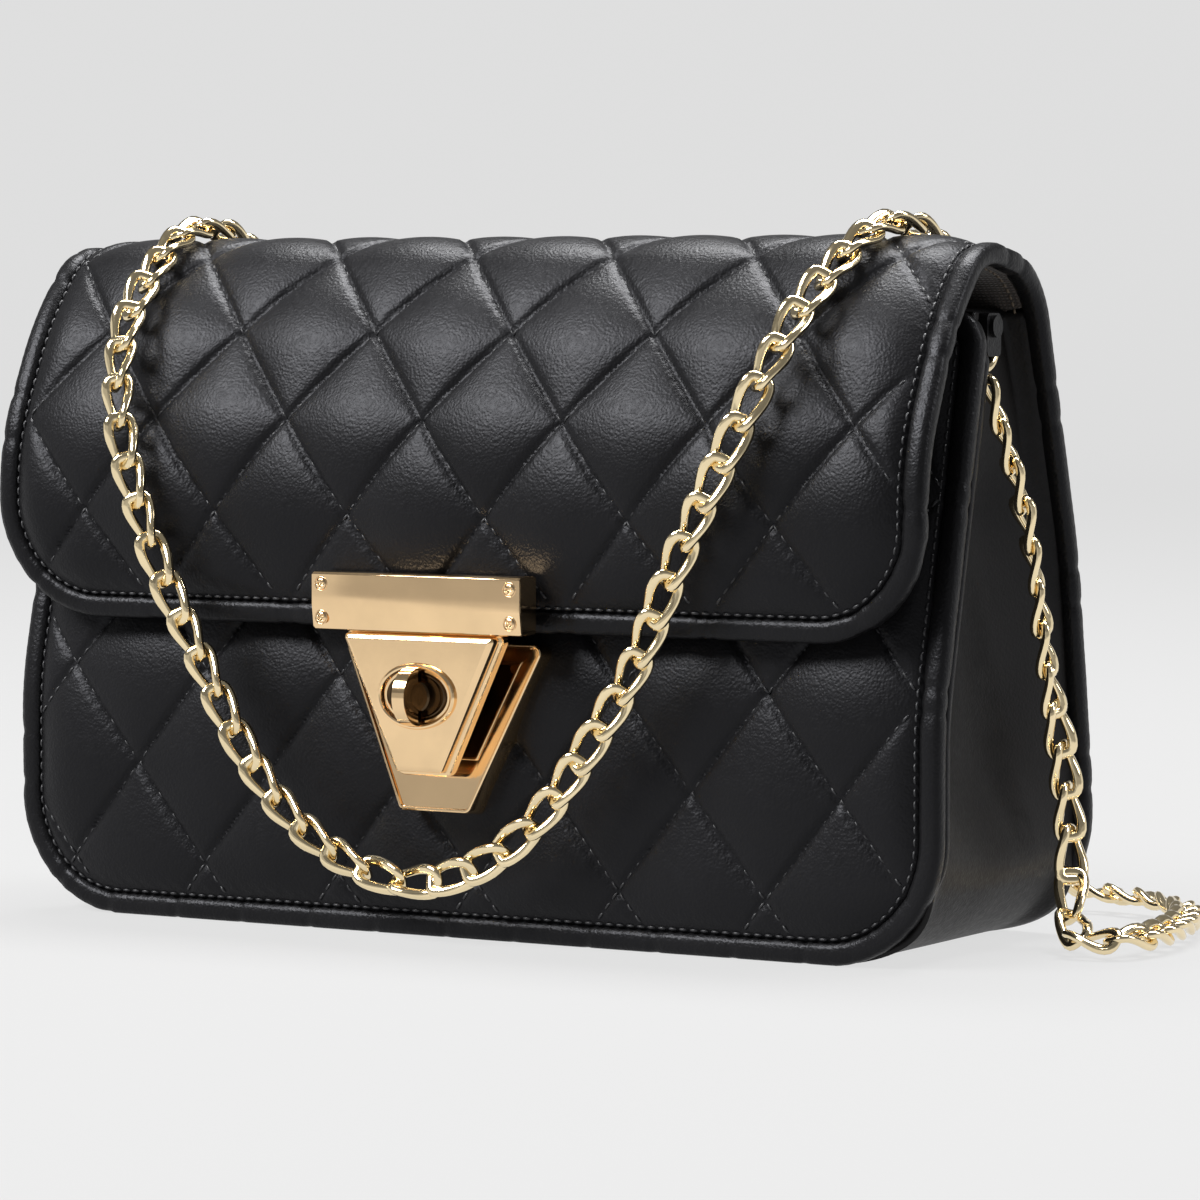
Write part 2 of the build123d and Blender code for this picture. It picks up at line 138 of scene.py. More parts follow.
CHAIN_LEFT = [
    (-97.8, -9.2, 103.4), (-99.0, -6.8, 95.0), (-100.4, -1.0, 82.0), (-101.2, 3.0, 67.0),
    (-101.9, 7.5, 52.0), (-102.6, 10.6, 38.0), (-103.2, 14.5, 23.5), (-103.6, 21.5, 10.5),
    (-102.5, 35.0, 3.8), (-96.5, 47.5, 3.6), (-85.0, 54.5, 3.6), (-72.5, 54.5, 8.5),
    (-66.5, 49.5, 20.5), (-67.5, 44.6, 34.0), (-69.8, 40.8, 47.5), (-71.6, 37.4, 61.0),
    (-72.2, 33.2, 74.5), (-72.2, 28.8, 88.0), (-72.2, 23.2, 101.0),
]


# ---------------------------------------------------------------- materials
WAVE_SCALE = 0.314                       # a wave texture of this scale repeats once in 1 mm of UV


def new_material(name):
    material = bpy.data.materials.new(name)
    material.use_nodes = True
    tree = material.node_tree
    return material, tree, tree.nodes["Principled BSDF"]


def node(tree, kind, **values):
    made = tree.nodes.new(kind)
    for key, value in values.items():
        if key in made.inputs:
            made.inputs[key].default_value = value
        else:
            setattr(made, key, value)
    return made


def math_node(tree, operation, first, second):
    made = node(tree, "ShaderNodeMath", operation=operation)
    for value, socket in ((first, made.inputs[0]), (second, made.inputs[1])):
        tree.links.new(value, socket)
    return made.outputs["Value"]


def noise(tree, coords, scale, detail=4.0, rough=0.55):
    made = node(tree, "ShaderNodeTexNoise", Scale=scale, Detail=detail, Roughness=rough)
    tree.links.new(coords, made.inputs["Vector"])
    return made.outputs["Fac"]


def ranged(tree, value, low_out, high_out, low_in=0.3, high_in=0.7):
    made = node(tree, "ShaderNodeMapRange")
    for key, number in (("From Min", low_in), ("From Max", high_in),
                        ("To Min", low_out), ("To Max", high_out)):
        made.inputs[key].default_value = number
    tree.links.new(value, made.inputs["Value"])
    return made.outputs["Result"]


def ramp(tree, value, *stops):
    made = node(tree, "ShaderNodeValToRGB")
    made.color_ramp.elements[0].position = stops[0][0]
    made.color_ramp.elements[0].color = stops[0][1]
    made.color_ramp.elements[1].position = stops[-1][0]
    made.color_ramp.elements[1].color = stops[-1][1]
    for place, colour in stops[1:-1]:
        made.color_ramp.elements.new(place).color = colour
    tree.links.new(value, made.inputs["Fac"])
    return made.outputs["Color"]


def bump(tree, height, strength, distance, normal=None):
    made = node(tree, "ShaderNodeBump", Strength=strength, Distance=distance)
    tree.links.new(height, made.inputs["Height"])
    if normal is not None:
        tree.links.new(normal, made.inputs["Normal"])
    return made.outputs["Normal"]


def mottle(tree, shader, value, colour, dark, light):
    """The base colour, from a darker to a lighter tone; dark and light are (place, share)."""
    stops = [(place, [min(1.0, c * share) for c in colour] + [1.0]) for place, share in (dark, light)]
    tree.links.new(ramp(tree, value, *stops), shader.inputs["Base Color"])


def leather(name, colour, shine, grain):
    """Soft pebbled leather: fine cells, broader unevenness, and a satin finish that varies a little."""
    material, tree, shader = new_material(name)
    coords = node(tree, "ShaderNodeTexCoord").outputs["Object"]
    cells = node(tree, "ShaderNodeTexVoronoi", feature="SMOOTH_F1", Scale=1900.0, Randomness=1.0,
                 Smoothness=0.7)
    warp = node(tree, "ShaderNodeVectorMath", operation="ADD")
    wobble = node(tree, "ShaderNodeTexNoise", Scale=900.0, Detail=2.0)
    small = node(tree, "ShaderNodeVectorMath", operation="SCALE")
    small.inputs["Scale"].default_value = 0.0005
    tree.links.new(coords, wobble.inputs["Vector"])
    tree.links.new(wobble.outputs["Color"], small.inputs[0])
    tree.links.new(coords, warp.inputs[0])
    tree.links.new(small.outputs["Vector"], warp.inputs[1])
    tree.links.new(warp.outputs["Vector"], cells.inputs["Vector"])
    broad = noise(tree, coords, 750.0, 4.0, 0.65)
    patches = noise(tree, coords, 28.0, 3.0, 0.5)
    fine = bump(tree, cells.outputs["Distance"], grain, 0.0002)
    tree.links.new(bump(tree, broad, grain * 0.6, 0.0002, fine), shader.inputs["Normal"])
    mottle(tree, shader, patches, colour, (0.3, 0.72), (0.72, 1.35))
    tree.links.new(ranged(tree, broad, shine - 0.05, shine + 0.07), shader.inputs["Roughness"])
    shader.inputs["Specular IOR Level"].default_value = 0.16
    shader.inputs["Specular Tint"].default_value = (0.92, 0.93, 1.0, 1)
    return material


def gold(name, colour, shine, spread=0.03, ripple=0.03):
    """Plated metal: warm, mirror-like, with faint polishing marks and slight colour change."""
    material, tree, shader = new_material(name)
    coords = node(tree, "ShaderNodeTexCoord").outputs["Object"]
    marks = noise(tree, coords, 900.0, 3.0, 0.6)
    patches = noise(tree, coords, 90.0, 3.0, 0.5)
    mottle(tree, shader, patches, colour, (0.3, 0.93), (0.7, 1.04))
    tree.links.new(ranged(tree, marks, shine, shine + spread), shader.inputs["Roughness"])
    tree.links.new(bump(tree, patches, ripple, 0.0003), shader.inputs["Normal"])
    shader.inputs["Metallic"].default_value = 1.0
    return material


def cloth(name, colour, thread_mm):
    """Plain woven lining: crossed threads with slubs, along the piece's own UV directions."""
    material, tree, shader = new_material(name)
    coords = node(tree, "ShaderNodeTexCoord").outputs["UV"]
    heights = []
    for direction in ("X", "Y"):
        wave = node(tree, "ShaderNodeTexWave", bands_direction=direction,
                    Scale=WAVE_SCALE / thread_mm, Distortion=1.2, Detail=1.0)
        tree.links.new(coords, wave.inputs["Vector"])
        heights.append(wave.outputs["Fac"])
    weave = math_node(tree, "MULTIPLY", *heights)
    mixed = math_node(tree, "ADD", weave, noise(tree, coords, 0.6, 4.0, 0.7))
    mottle(tree, shader, mixed, colour, (0.35, 0.45), (1.25, 1.6))
    tree.links.new(bump(tree, mixed, 0.5, 0.0003), shader.inputs["Normal"])
    shader.inputs["Roughness"].default_value = 0.8
    shader.inputs["Sheen Weight"].default_value = 0.25
    shader.inputs["Sheen Roughness"].default_value = 0.5
    return material


def plain(name, colour, shine, scale=600.0, metallic=0.0):
    """A simple finish whose tone and roughness vary a little."""
    material, tree, shader = new_material(name)
    coords = node(tree, "ShaderNodeTexCoord").outputs["Object"]
    marks = noise(tree, coords, scale, 4.0, 0.6)
    mottle(tree, shader, marks, colour, (0.3, 0.8), (0.7, 1.2))
    tree.links.new(ranged(tree, marks, shine - 0.04, shine + 0.05), shader.inputs["Roughness"])
    tree.links.new(bump(tree, marks, 0.15, 0.0002), shader.inputs["Normal"])
    shader.inputs["Metallic"].default_value = metallic
    return material


quilt_leather = leather("quilted_leather", (0.0052, 0.0051, 0.0056), 0.40, 0.36)
edge_leather = leather("edge_leather", (0.0052, 0.0051, 0.0055), 0.36, 0.34)
side_leather = leather("gusset_leather", (0.0070, 0.0064, 0.0060), 0.46, 0.22)
lining_cloth = cloth("lining_cloth", (0.018, 0.012, 0.0085), 0.9)
thread = plain("black_thread", (0.012, 0.012, 0.014), 0.45, 2500.0)
lining_thread = plain("lining_thread", (0.10, 0.075, 0.05), 0.6, 2500.0)
lock_gold = gold("lock_gold", (0.95, 0.68, 0.39), 0.10)
# Near-black bronze as painted shade: it fills the lock's recess, the rosette's dish and the knob's foot and
# stem, where the gold lies in shadow.
painted_shade_bronze = gold("painted_shade_bronze", (0.085, 0.055, 0.03), 0.22)
chain_gold = gold("chain_gold", (0.95, 0.79, 0.50), 0.10, 0.04, 0.05)
steel = plain("lock_steel", (0.45, 0.45, 0.46), 0.35, 800.0, 1.0)
# The boards are near-black as painted shade: where a board shows through a gap it reads as a shadowed gap.
board_painted_shade = plain("stiffening_board_painted_shade", (0.016, 0.014, 0.013), 0.75, 300.0)


# ---------------------------------------------------------------- mesh helpers
def circle(count):
    """Angles evenly round a circle."""
    return np.linspace(0, 2 * math.pi, count, endpoint=False)


def unit(vectors):
    return vectors / np.linalg.norm(vectors, axis=-1, keepdims=True)


def across_way(vectors, ways):
    """The vectors without their share along the ways, at unit length."""
    return unit(vectors - (vectors * ways).sum(1)[:, None] * ways)


def resample(at, reach, points):
    """The points of a line read at other distances along it."""
    return np.stack([np.interp(at, reach, column) for column in points.T], 1)


def superellipse(turns, power_x, power_y, root):
    """How far a rounded square or oval reaches at each turn."""
    return (np.abs(np.cos(turns)) ** power_x + np.abs(np.sin(turns)) ** power_y) ** (-1 / root)


def grid_faces(rows, columns, round_rows=False, round_columns=False):
    """Quads of a grid of points, which may close on itself either way."""
    i, j = np.meshgrid(np.arange(rows if round_rows else rows - 1),
                       np.arange(columns if round_columns else columns - 1), indexing="ij")
    k, m = (i + 1) % rows, (j + 1) % columns
    corners = [i * columns + j, i * columns + m, k * columns + m, k * columns + j]
    return np.stack(corners, -1).reshape(-1, 4).tolist()


def tube_faces(rows, columns):
    """A tube's quads and its two end faces."""
    ends = [list(range(columns))[::-1], [(rows - 1) * columns + k for k in range(columns)]]
    return grid_faces(rows, columns, round_columns=True) + ends


def thicken(made, thickness, offset=-1):
    """Turn a skin into a sheet of a thickness in millimetres."""
    thick = made.modifiers.new("thickness", "SOLIDIFY")
    thick.thickness = thickness * MM
    thick.offset = offset


def piece(name, points, faces, material, body=None, uv=None, outward=True):
    """A smooth-shaded mesh from points in millimetres."""
    mesh = bpy.data.meshes.new(name)
    mesh.from_pydata((np.asarray(points, float).reshape(-1, 3) * MM).tolist(), [], faces)
    if outward:
        shape = bmesh.new()
        shape.from_mesh(mesh)
        bmesh.ops.recalc_face_normals(shape, faces=shape.faces)
        shape.to_mesh(mesh)
        shape.free()
    if uv is not None:
        layer = mesh.uv_layers.new(name="UVMap")
        corner = np.zeros(len(mesh.loops), np.int32)
        mesh.loops.foreach_get("vertex_index", corner)
        layer.data.foreach_set("uv", np.asarray(uv, np.float32).reshape(-1, 2)[corner].ravel())
    mesh.shade_smooth()
    mesh.materials.append(material)
    made = bpy.data.objects.new(name, mesh)
    bpy.context.scene.collection.objects.link(made)
    if body:
        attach(made, body)
    return made


def fold_blend(made):
    """Bakes the piece's placement into its points."""
    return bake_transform(made)


def rounded(corners, bends):
    """Points along a line whose inner corners are arcs of the given radii."""
    points = [np.array(corners[0], float)]
    for i, radius in enumerate(bends, 1):
        before, at, after = [np.array(corners[k], float) for k in (i - 1, i, i + 1)]
        u = (before - at) / np.linalg.norm(before - at)
        v = (after - at) / np.linalg.norm(after - at)
        opening = math.acos(np.clip(u @ v, -1, 1))
        reach = radius / math.tan(opening / 2)
        centre = at + (u + v) / np.linalg.norm(u + v) * radius / math.sin(opening / 2)
        first = math.atan2(*(at + u * reach - centre)[::-1])
        last = math.atan2(*(at + v * reach - centre)[::-1])
        turn = (last - first + math.pi) % (2 * math.pi) - math.pi
        for angle in first + turn * np.linspace(0, 1, 25):
            points.append(centre + radius * np.array([math.cos(angle), math.sin(angle)]))
    return np.array(points + [np.array(corners[-1], float)])


def along(points):
    return np.concatenate([[0], np.cumsum(np.linalg.norm(np.diff(points, axis=0), axis=1))])


def smoothstep(a, b, x):
    t = np.clip((np.asarray(x, float) - a) / (b - a), 0, 1)
    return t * t * (3 - 2 * t)


class Wall:
    """A leather wall that runs straight across the bag: its side-view line, drawn out along x.
    A point on it is x, s along the line from its first corner, and its height above it."""

    def __init__(self, corners, bends, past=12.0):
        line = rounded(corners, bends)
        length = along(line)[-1]
        first = line[0] - (line[1] - line[0]) / np.linalg.norm(line[1] - line[0]) * past
        last = line[-1] + (line[-1] - line[-2]) / np.linalg.norm(line[-1] - line[-2]) * past
        line = np.concatenate([[first], line, [last]])
        self.length = length
        self.s = np.arange(-past, length + past, 0.4)
        reach = along(line) - past
        self.line = resample(self.s, reach, line)
        way = np.gradient(self.line, axis=0)
        kernel = np.ones(7) / 7
        way = unit(np.stack([np.convolve(np.pad(column, 3, "edge"), kernel, "valid")
                             for column in way.T], 1))
        self.out = np.stack([-way[:, 1], way[:, 0]], 1)

    def at(self, x, s, height):
        x, s, height = np.broadcast_arrays(x, s, height)
        y, z = [np.interp(s, self.s, self.line[:, k]) for k in (0, 1)]
        ny, nz = [np.interp(s, self.s, self.out[:, k]) for k in (0, 1)]
        return np.stack([x, y + ny * height, z + nz * height], -1)

    def y_at(self, z):
        """The line's y at a height, for a wall that rises or falls all the way."""
        order = np.argsort(self.line[:, 1])
        return np.interp(z, self.line[order, 1], self.line[order, 0])

    def s_at(self, z, falling=False):
        """How far along the line reaches a height, on its rising or falling side."""
        top = int(self.line[:, 1].argmax())
        part = slice(top, None) if falling else slice(0, top)
        z_line, s_line = self.line[part, 1], self.s[part]
        order = np.argsort(z_line)
        return float(np.interp(z, z_line[order], s_line[order]))


flap_wall = Wall(FLAP_LINE, FLAP_BENDS)
front_wall = Wall(FRONT_LINE, FRONT_BENDS)
back_wall = Wall(BACK_LINE, BACK_BENDS)
FOLD_S = flap_wall.s_at(HINGE[1], falling=True)


class Outline:
    """The front view of a panel, unrolled: straight sides, and corners of two radii."""

    def __init__(self, low_s, high_s, low_corner, high_corner):
        self.low, self.high = low_s, high_s
        self.corners = {-1: low_corner, 1: high_corner}

    def inset(self, x, s):
        """How far inside the outline a point is."""
        x, s = np.abs(np.asarray(x, float)), np.asarray(s, float)
        middle = (self.low + self.high) / 2
        radius = np.where(s < middle, self.corners[-1], self.corners[1])
        end = np.where(s < middle, s - self.low, self.high - s)
        side = HALF - x
        a, b = np.maximum(radius - side, 0), np.maximum(radius - end, 0)
        return np.where((a > 0) & (b > 0), radius - np.hypot(a, b), np.minimum(side, end))

    def half(self, s, inset):
        """Half width at s of the outline moved in by an inset."""
        low_s, high_s = self.low + inset, self.high - inset
        width = np.full_like(s, HALF - inset)
        for side, end in ((-1, s - low_s), (1, high_s - s)):
            radius = self.corners[side] - inset
            drop = np.clip(radius - end, 0, radius)
            width = width - np.where(drop > 0, radius - np.sqrt(np.maximum(radius ** 2 - drop ** 2, 0)), 0)
        return width

    def rows(self, inset, step):
        """Values of s from end to end, closer together where the corners close in."""
        low_s, high_s = self.low + inset, self.high - inset
        turns = {}
        for side in (-1, 1):
            radius = self.corners[side] - inset
            count = max(4, int(radius * 1.5 / step))
            turns[side] = radius * (1 - np.cos(np.linspace(0, math.pi / 2, count)))
        middle = np.arange(low_s + turns[-1][-1] + step, high_s - turns[1][-1] - step / 2, step)
        return np.concatenate([low_s + turns[-1], middle, (high_s - turns[1])[::-1]])

    def loop(self, inset, step):
        """Points (x, s) round the outline moved in by an inset, and which way is out at each."""
        points = []
        for side_x, side_s in ((1, -1), (1, 1), (-1, 1), (-1, -1)):
            radius = self.corners[side_s] - inset
            cx = side_x * (HALF - inset - radius)
            cs = (self.low + inset + radius) if side_s < 0 else (self.high - inset - radius)
            start = {(1, -1): -90, (1, 1): 0, (-1, 1): 90, (-1, -1): 180}[(side_x, side_s)]
            for angle in np.radians(start + np.linspace(0, 90, 24)):
                points.append((cx + radius * math.cos(angle), cs + radius * math.sin(angle)))
        points = np.array(points + points[:1])
        reach = along(points)
        count = int(reach[-1] / step)
        at = np.arange(count) * reach[-1] / count
        ring = resample(at, reach, points)
        way = unit(np.roll(ring, -1, axis=0) - np.roll(ring, 1, axis=0))
        return ring, np.stack([way[:, 1], -way[:, 0]], 1), at


def seam_distances(x, s, quilt):
    """Distance to the nearest seam of each slant, and the place along that seam, in mm."""
    a = (x - quilt["x"]) / quilt["wide"] + (s - quilt["s"]) / quilt["tall"]
    b = (x - quilt["x"]) / quilt["wide"] - (s - quilt["s"]) / quilt["tall"]
    apart = 1 / math.hypot(1 / quilt["wide"], 1 / quilt["tall"])
    slant = math.hypot(quilt["wide"], quilt["tall"])
    along_a = ((x - quilt["x"]) * quilt["wide"] - (s - quilt["s"]) * quilt["tall"]) / slant
    along_b = ((x - quilt["x"]) * quilt["wide"] + (s - quilt["s"]) * quilt["tall"]) / slant
    return a, b, np.abs(a - np.round(a)) * apart, np.abs(b - np.round(b)) * apart, along_a, along_b


waves = [(random.uniform(0.05, 0.33), random.uniform(0, 2 * math.pi), random.uniform(0, 2 * math.pi))
         for _ in range(14)]


def unevenness(x, s):
    """Slow, shallow ups and downs of hand-filled padding, about 1 either way."""
    total = 0
    for rate, turn, start in waves:
        total = total + np.sin(rate * (x * math.cos(turn) + s * math.sin(turn)) + start)
    return total / len(waves) * 2.2


# puff is the padding's height, and pressed how much flatter it lies over the top
Panel = namedtuple("Panel", "wall outline quilt puff pressed")


def relief(x, s, panel):
    """Height of the quilted face above the wall line."""
    inset = panel.outline.inset(x, s)
    a, b, da, db, along_a, along_b = seam_distances(x, s, panel.quilt)
    inside = np.maximum(inset - SEAM_IN, 0)
    crown = -0.6 + 1.25 * (1 - np.exp(-inside / 2.4)) - np.maximum(SEAM_IN - inset, 0) * 0.9
    free = 1 - np.exp(-inside / 4.0)
    pillow = (np.abs(np.sin(np.pi * a)) * np.abs(np.sin(np.pi * b)) + 1e-9) ** 0.52
    flatter = 1 - panel.pressed * np.exp(-((s - ARCH_S) / 17.0) ** 2)
    height = crown + free * flatter * (panel.puff * pillow * (1 + 0.05 * unevenness(x * 1.3, s * 1.3)))
    for distance, place in ((da, along_a), (db, along_b)):
        pull = 0.5 + 0.5 * np.cos(2 * np.pi * place / STITCH)
        height -= free * (0.55 + 0.15 * pull) * np.exp(-(distance / 0.45) ** 2)
        pucker = np.cos(2 * np.pi * place / STITCH + 0.9 * np.sin(place / 3.1))
        height -= free * 0.04 * pucker * np.exp(-((distance - 1.3) / 1.1) ** 2)
    ripple = np.cos(2 * np.pi * (x + s) / 3.3) * np.exp(-((inside - 1.4) / 1.3) ** 2)
    return height + 0.05 * ripple


# ---------------------------------------------------------------- quilted panels
def quilted(name, panel, under=-2.0, tuck=3.2, step=0.72):
    """A padded panel, closed at the back by a flat skin at the height under."""
    rows = panel.outline.rows(tuck, step)
    half = panel.outline.half(rows, tuck)
    across = np.linspace(-1, 1, int(2 * HALF / step))
    x = across[None, :] * half[:, None]
    s = np.repeat(rows[:, None], len(across), axis=1)
    top = panel.wall.at(x, s, relief(x, s, panel))
    ends = panel.wall.at(np.stack([-half, half], 1), rows[:, None], under)
    count, wide = x.shape
    faces = grid_faces(count, wide)
    base = count * wide
    for i in range(count - 1):
        left, right = base + 2 * i, base + 2 * i + 1
        faces.append([left, left + 2, right + 2, right])
        faces.append([i * wide, left, left + 2, (i + 1) * wide][::-1])
        faces.append([i * wide + wide - 1, right, right + 2, (i + 1) * wide + wide - 1])
    last = (count - 1) * wide
    faces.append([base, base + 1] + list(range(wide - 1, -1, -1)))
    faces.append([base + 2 * count - 2, base + 2 * count - 1] + list(range(last + wide - 1, last - 1, -1)))
    points = np.concatenate([top.reshape(-1, 3), ends.reshape(-1, 3)])
    return piece(name, points, faces, quilt_leather)


flap_outline = Outline(0.0, flap_wall.length, FLAP_CORNER, CORNER)
front_outline = Outline(0.0, front_wall.s_at(BODY_TOP), CORNER, 7.0)
ARCH_S = 97.0                            # where along the flap's line the top of the bag is
flap_panel = Panel(flap_wall, flap_outline, FLAP_QUILT, puff=2.0, pressed=0.55)
front_panel = Panel(front_wall, front_outline, FRONT_QUILT, puff=1.9, pressed=0.0)

flap_quilt = quilted("quilted_flap_and_back", flap_panel)
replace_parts(flap_quilt, "flap_shell", "back_panel")
fold_blend(flap_quilt)
front_quilt = quilted("quilted_front", front_panel)
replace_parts(front_quilt, "front_panel")
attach(front_quilt, "bag")


# ---------------------------------------------------------------- rolled edges
def roll_section(count=16):
    """Closed section of a rolled edge, (outward, up): a soft rounded square of about 4 mm."""
    turns = circle(count)
    size = superellipse(turns, 3.3, 3.3, 3.3)
    return np.stack([2.15 * np.cos(turns) * size, 2.02 * np.sin(turns) * size], 1)


def rolled_edge(name, panel):
    """The leather rolled over the panel's rim, creased where the quilting seams run under it."""
    ring, outs, at = panel.outline.loop(EDGE / 2, 0.7)
    section = roll_section()
    _, _, da, db, _, _ = seam_distances(ring[:, 0], ring[:, 1], panel.quilt)
    crease = np.exp(-(da / 0.75) ** 2) + np.exp(-(db / 0.75) ** 2)
    corner = np.abs(outs[:, 0] * outs[:, 1]) * 2
    size = 1 + 0.02 * unevenness(ring[:, 0] * 2, ring[:, 1] * 2) - 0.11 * np.minimum(crease, 1)
    size = size + 0.02 * corner * np.cos(2 * np.pi * at / 3.7) + 0.008 * np.cos(2 * np.pi * at / EDGE_STITCH)
    reach = section[None, :, 0] * size[:, None]
    up = section[None, :, 1] * size[:, None] - EDGE / 2
    x = ring[:, None, 0] + outs[:, None, 0] * reach
    s = ring[:, None, 1] + outs[:, None, 1] * reach
    points = panel.wall.at(x, s, up)
    points[..., 2] = np.maximum(points[..., 2], 0.02)
    return piece(name, points, grid_faces(*x.shape, True, True), edge_leather)


flap_roll = rolled_edge("rolled_edge_flap_and_back", flap_panel)
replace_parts(flap_roll, "flap_binding", "back_binding")
fold_blend(flap_roll)
front_roll = rolled_edge("rolled_edge_front", front_panel)
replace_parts(front_roll, "front_binding")
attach(front_roll, "bag")


# ---------------------------------------------------------------- stitches
def stitches(name, places, ways, ups, length, radius=0.27, material=thread):
    """Short arched lengths of thread, each with its ends sunk in the leather."""
    places, ways, ups = [np.asarray(v, float).reshape(-1, 3) for v in (places, ways, ups)]
    ways = unit(ways)
    ups = across_way(ups, ways)
    sides = np.cross(ways, ups)
    stations = [(-0.5, 0.35, -0.35), (-0.38, 0.85, -0.02), (-0.12, 1.0, 0.12),
                (0.12, 1.0, 0.12), (0.38, 0.85, -0.02), (0.5, 0.35, -0.35)]
    turns = circle(6)
    rings = []
    for place, width, lift in stations:
        centre = places + ways * length * place + ups * lift
        ring = centre[:, None] + radius * width * (sides[:, None] * np.cos(turns)[None, :, None]
                                                   + ups[:, None] * np.sin(turns)[None, :, None])
        rings.append(ring)
    points = np.stack(rings, 1)
    count, rows, columns = points.shape[:3]
    faces = [[k + n * rows * columns for k in face]
             for n in range(count) for face in tube_faces(rows, columns)]
    return piece(name, points, faces, material, outward=False)


def quilt_stitches(name, panel, keep=lambda x, s: np.full(x.shape, True)):
    """Stitches along every seam of the quilting."""
    outline, quilt = panel.outline, panel.quilt
    slant = math.hypot(quilt["wide"], quilt["tall"])
    spots, ways = [], []
    for side in (-1, 1):
        way = np.array([quilt["wide"], side * quilt["tall"]]) / slant
        for n in range(-14, 15):
            start = np.array([quilt["x"] + n * quilt["wide"], quilt["s"]])
            run = (np.arange(-200, 200) + 0.5) * STITCH
            line = start + run[:, None] * way
            inset = outline.inset(line[:, 0], line[:, 1])
            good = (inset > SEAM_IN + 0.6) & (line[:, 1] > outline.low) & (line[:, 1] < outline.high)
            good &= np.abs(line[:, 0]) < HALF
            good &= keep(line[:, 0], line[:, 1])
            spots.append(line[good])
            ways.append(np.repeat(way[None], good.sum(), axis=0))
    spots, ways = np.concatenate(spots), np.concatenate(ways)
    return seam_stitches(name, panel, spots, ways, STITCH * THREAD_SHARE)


def seam_stitches(name, panel, spots, ways, length):
    """Stitches at the given spots (x, s) on the quilted face, each along its way."""
    ahead, behind = spots + ways * 0.8, spots - ways * 0.8
    places = [panel.wall.at(x, s, relief(x, s, panel)) for x, s in (spots.T, ahead.T, behind.T)]
    ups = panel.wall.at(*spots.T, 1.0) - panel.wall.at(*spots.T, 0.0)
    return stitches(name, places[0] + ups * 0.10, places[1] - places[2], ups, length)


def edge_stitches(name, panel):
    ring, outs, _ = panel.outline.loop(SEAM_IN, EDGE_STITCH)
    ways = np.stack([-outs[:, 1], outs[:, 0]], 1)
    return seam_stitches(name, panel, ring, ways, EDGE_STITCH * THREAD_SHARE)


def beside_lock(x, s):
    """True where the base plate doesn't cover the front panel."""
    z = front_wall.at(x, s, 0)[..., 2]
    share = (z - PLATE_LOW[1]) / (PLATE_TOP[1] - PLATE_LOW[1])
    half = PLATE_LOW[0] + (PLATE_TOP[0] - PLATE_LOW[0]) * share
    return ~((share > -0.02) & (share < 1.02) & (np.abs(x) < half))


for made, body in (
    (quilt_stitches("quilting_thread_flap", flap_panel), None),
    (edge_stitches("edge_thread_flap", flap_panel), None),
    (quilt_stitches("quilting_thread_front", front_panel, beside_lock), "bag"),
    (edge_stitches("edge_thread_front", front_panel), "bag"),
):
    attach(made, body) if body else fold_blend(made)


# ---------------------------------------------------------------- gusset
SIDES = {1: "right", -1: "left"}
GUSSET_THICK = 1.4
PLEAT_SIDES = 14                         # points round the pleat's section
HEM_Z = 115.2                            # height of the gusset's upper hem


def between_rolls(z):
    """The gusset's y just inside the front panel's rolled edge and the back panel's."""
    return front_wall.y_at(z) + EDGE - 0.6, back_wall.y_at(z) - EDGE + 0.6


def gusset_path(step):
    """(x, z) and outward normal along the strip, down one side, across and up the other."""
    right = rounded(GUSSET_LINE, GUSSET_BENDS)[:-1]
    line = np.concatenate([right, right[::-1] * [-1, 1]])
    reach = along(line)
    at = np.linspace(0, reach[-1], int(reach[-1] / step))
    points = resample(at, reach, line)
    way = unit(np.gradient(points, axis=0))
    return points, np.stack([-way[:, 1], way[:, 0]], 1), at


def valley(share, z):
    """How far the side folds inwards: a soft crease down the middle that ends above the base."""
    deep = 6.5 * smoothstep(11, 36, z) * (1 - 0.85 * smoothstep(78, 103, z))
    ridge = 1 - np.abs(share - 0.46) / np.where(share < 0.46, 0.46, 0.54)
    return deep * smoothstep(0, 1, ridge) ** 0.8


def make_gusset():
    path, outs, at = gusset_path(1.2)
    share = np.linspace(0, 1, 46)
    z = path[:, 1]
    front, back = between_rolls(z)
    y = front[:, None] + (back - front)[:, None] * share[None, :]
    sag = 0.25 * unevenness(at[:, None] * 1.1 + 40, y * 1.4) * np.sin(np.pi * share)[None, :]
    deep = valley(share[None, :], z[:, None]) - np.minimum(sag, 0.4)
    flare = 1 - smoothstep(0, 0.09, np.minimum(share, 1 - share))
    tuck = (HALF - 2.4 - np.abs(path[:, 0]))[:, None] * np.abs(outs[:, :1]) * flare[None, :]
    x = path[:, None, 0] - outs[:, None, 0] * (deep - tuck)
    height = np.repeat(np.maximum(path[:, 1:], 0.05), len(share), 1)
    points = np.stack([x, y, height], -1)
    uv = np.stack([y, np.repeat(at[:, None], len(share), 1)], -1)
    made = piece("gusset_strip", points, grid_faces(*x.shape), side_leather, "bag", uv=uv,
                 outward=False)
    thicken(made, GUSSET_THICK, offset=1)
    return made


gusset = make_gusset()
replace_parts(gusset, "gusset_right", "gusset_left", "bottom_panel")


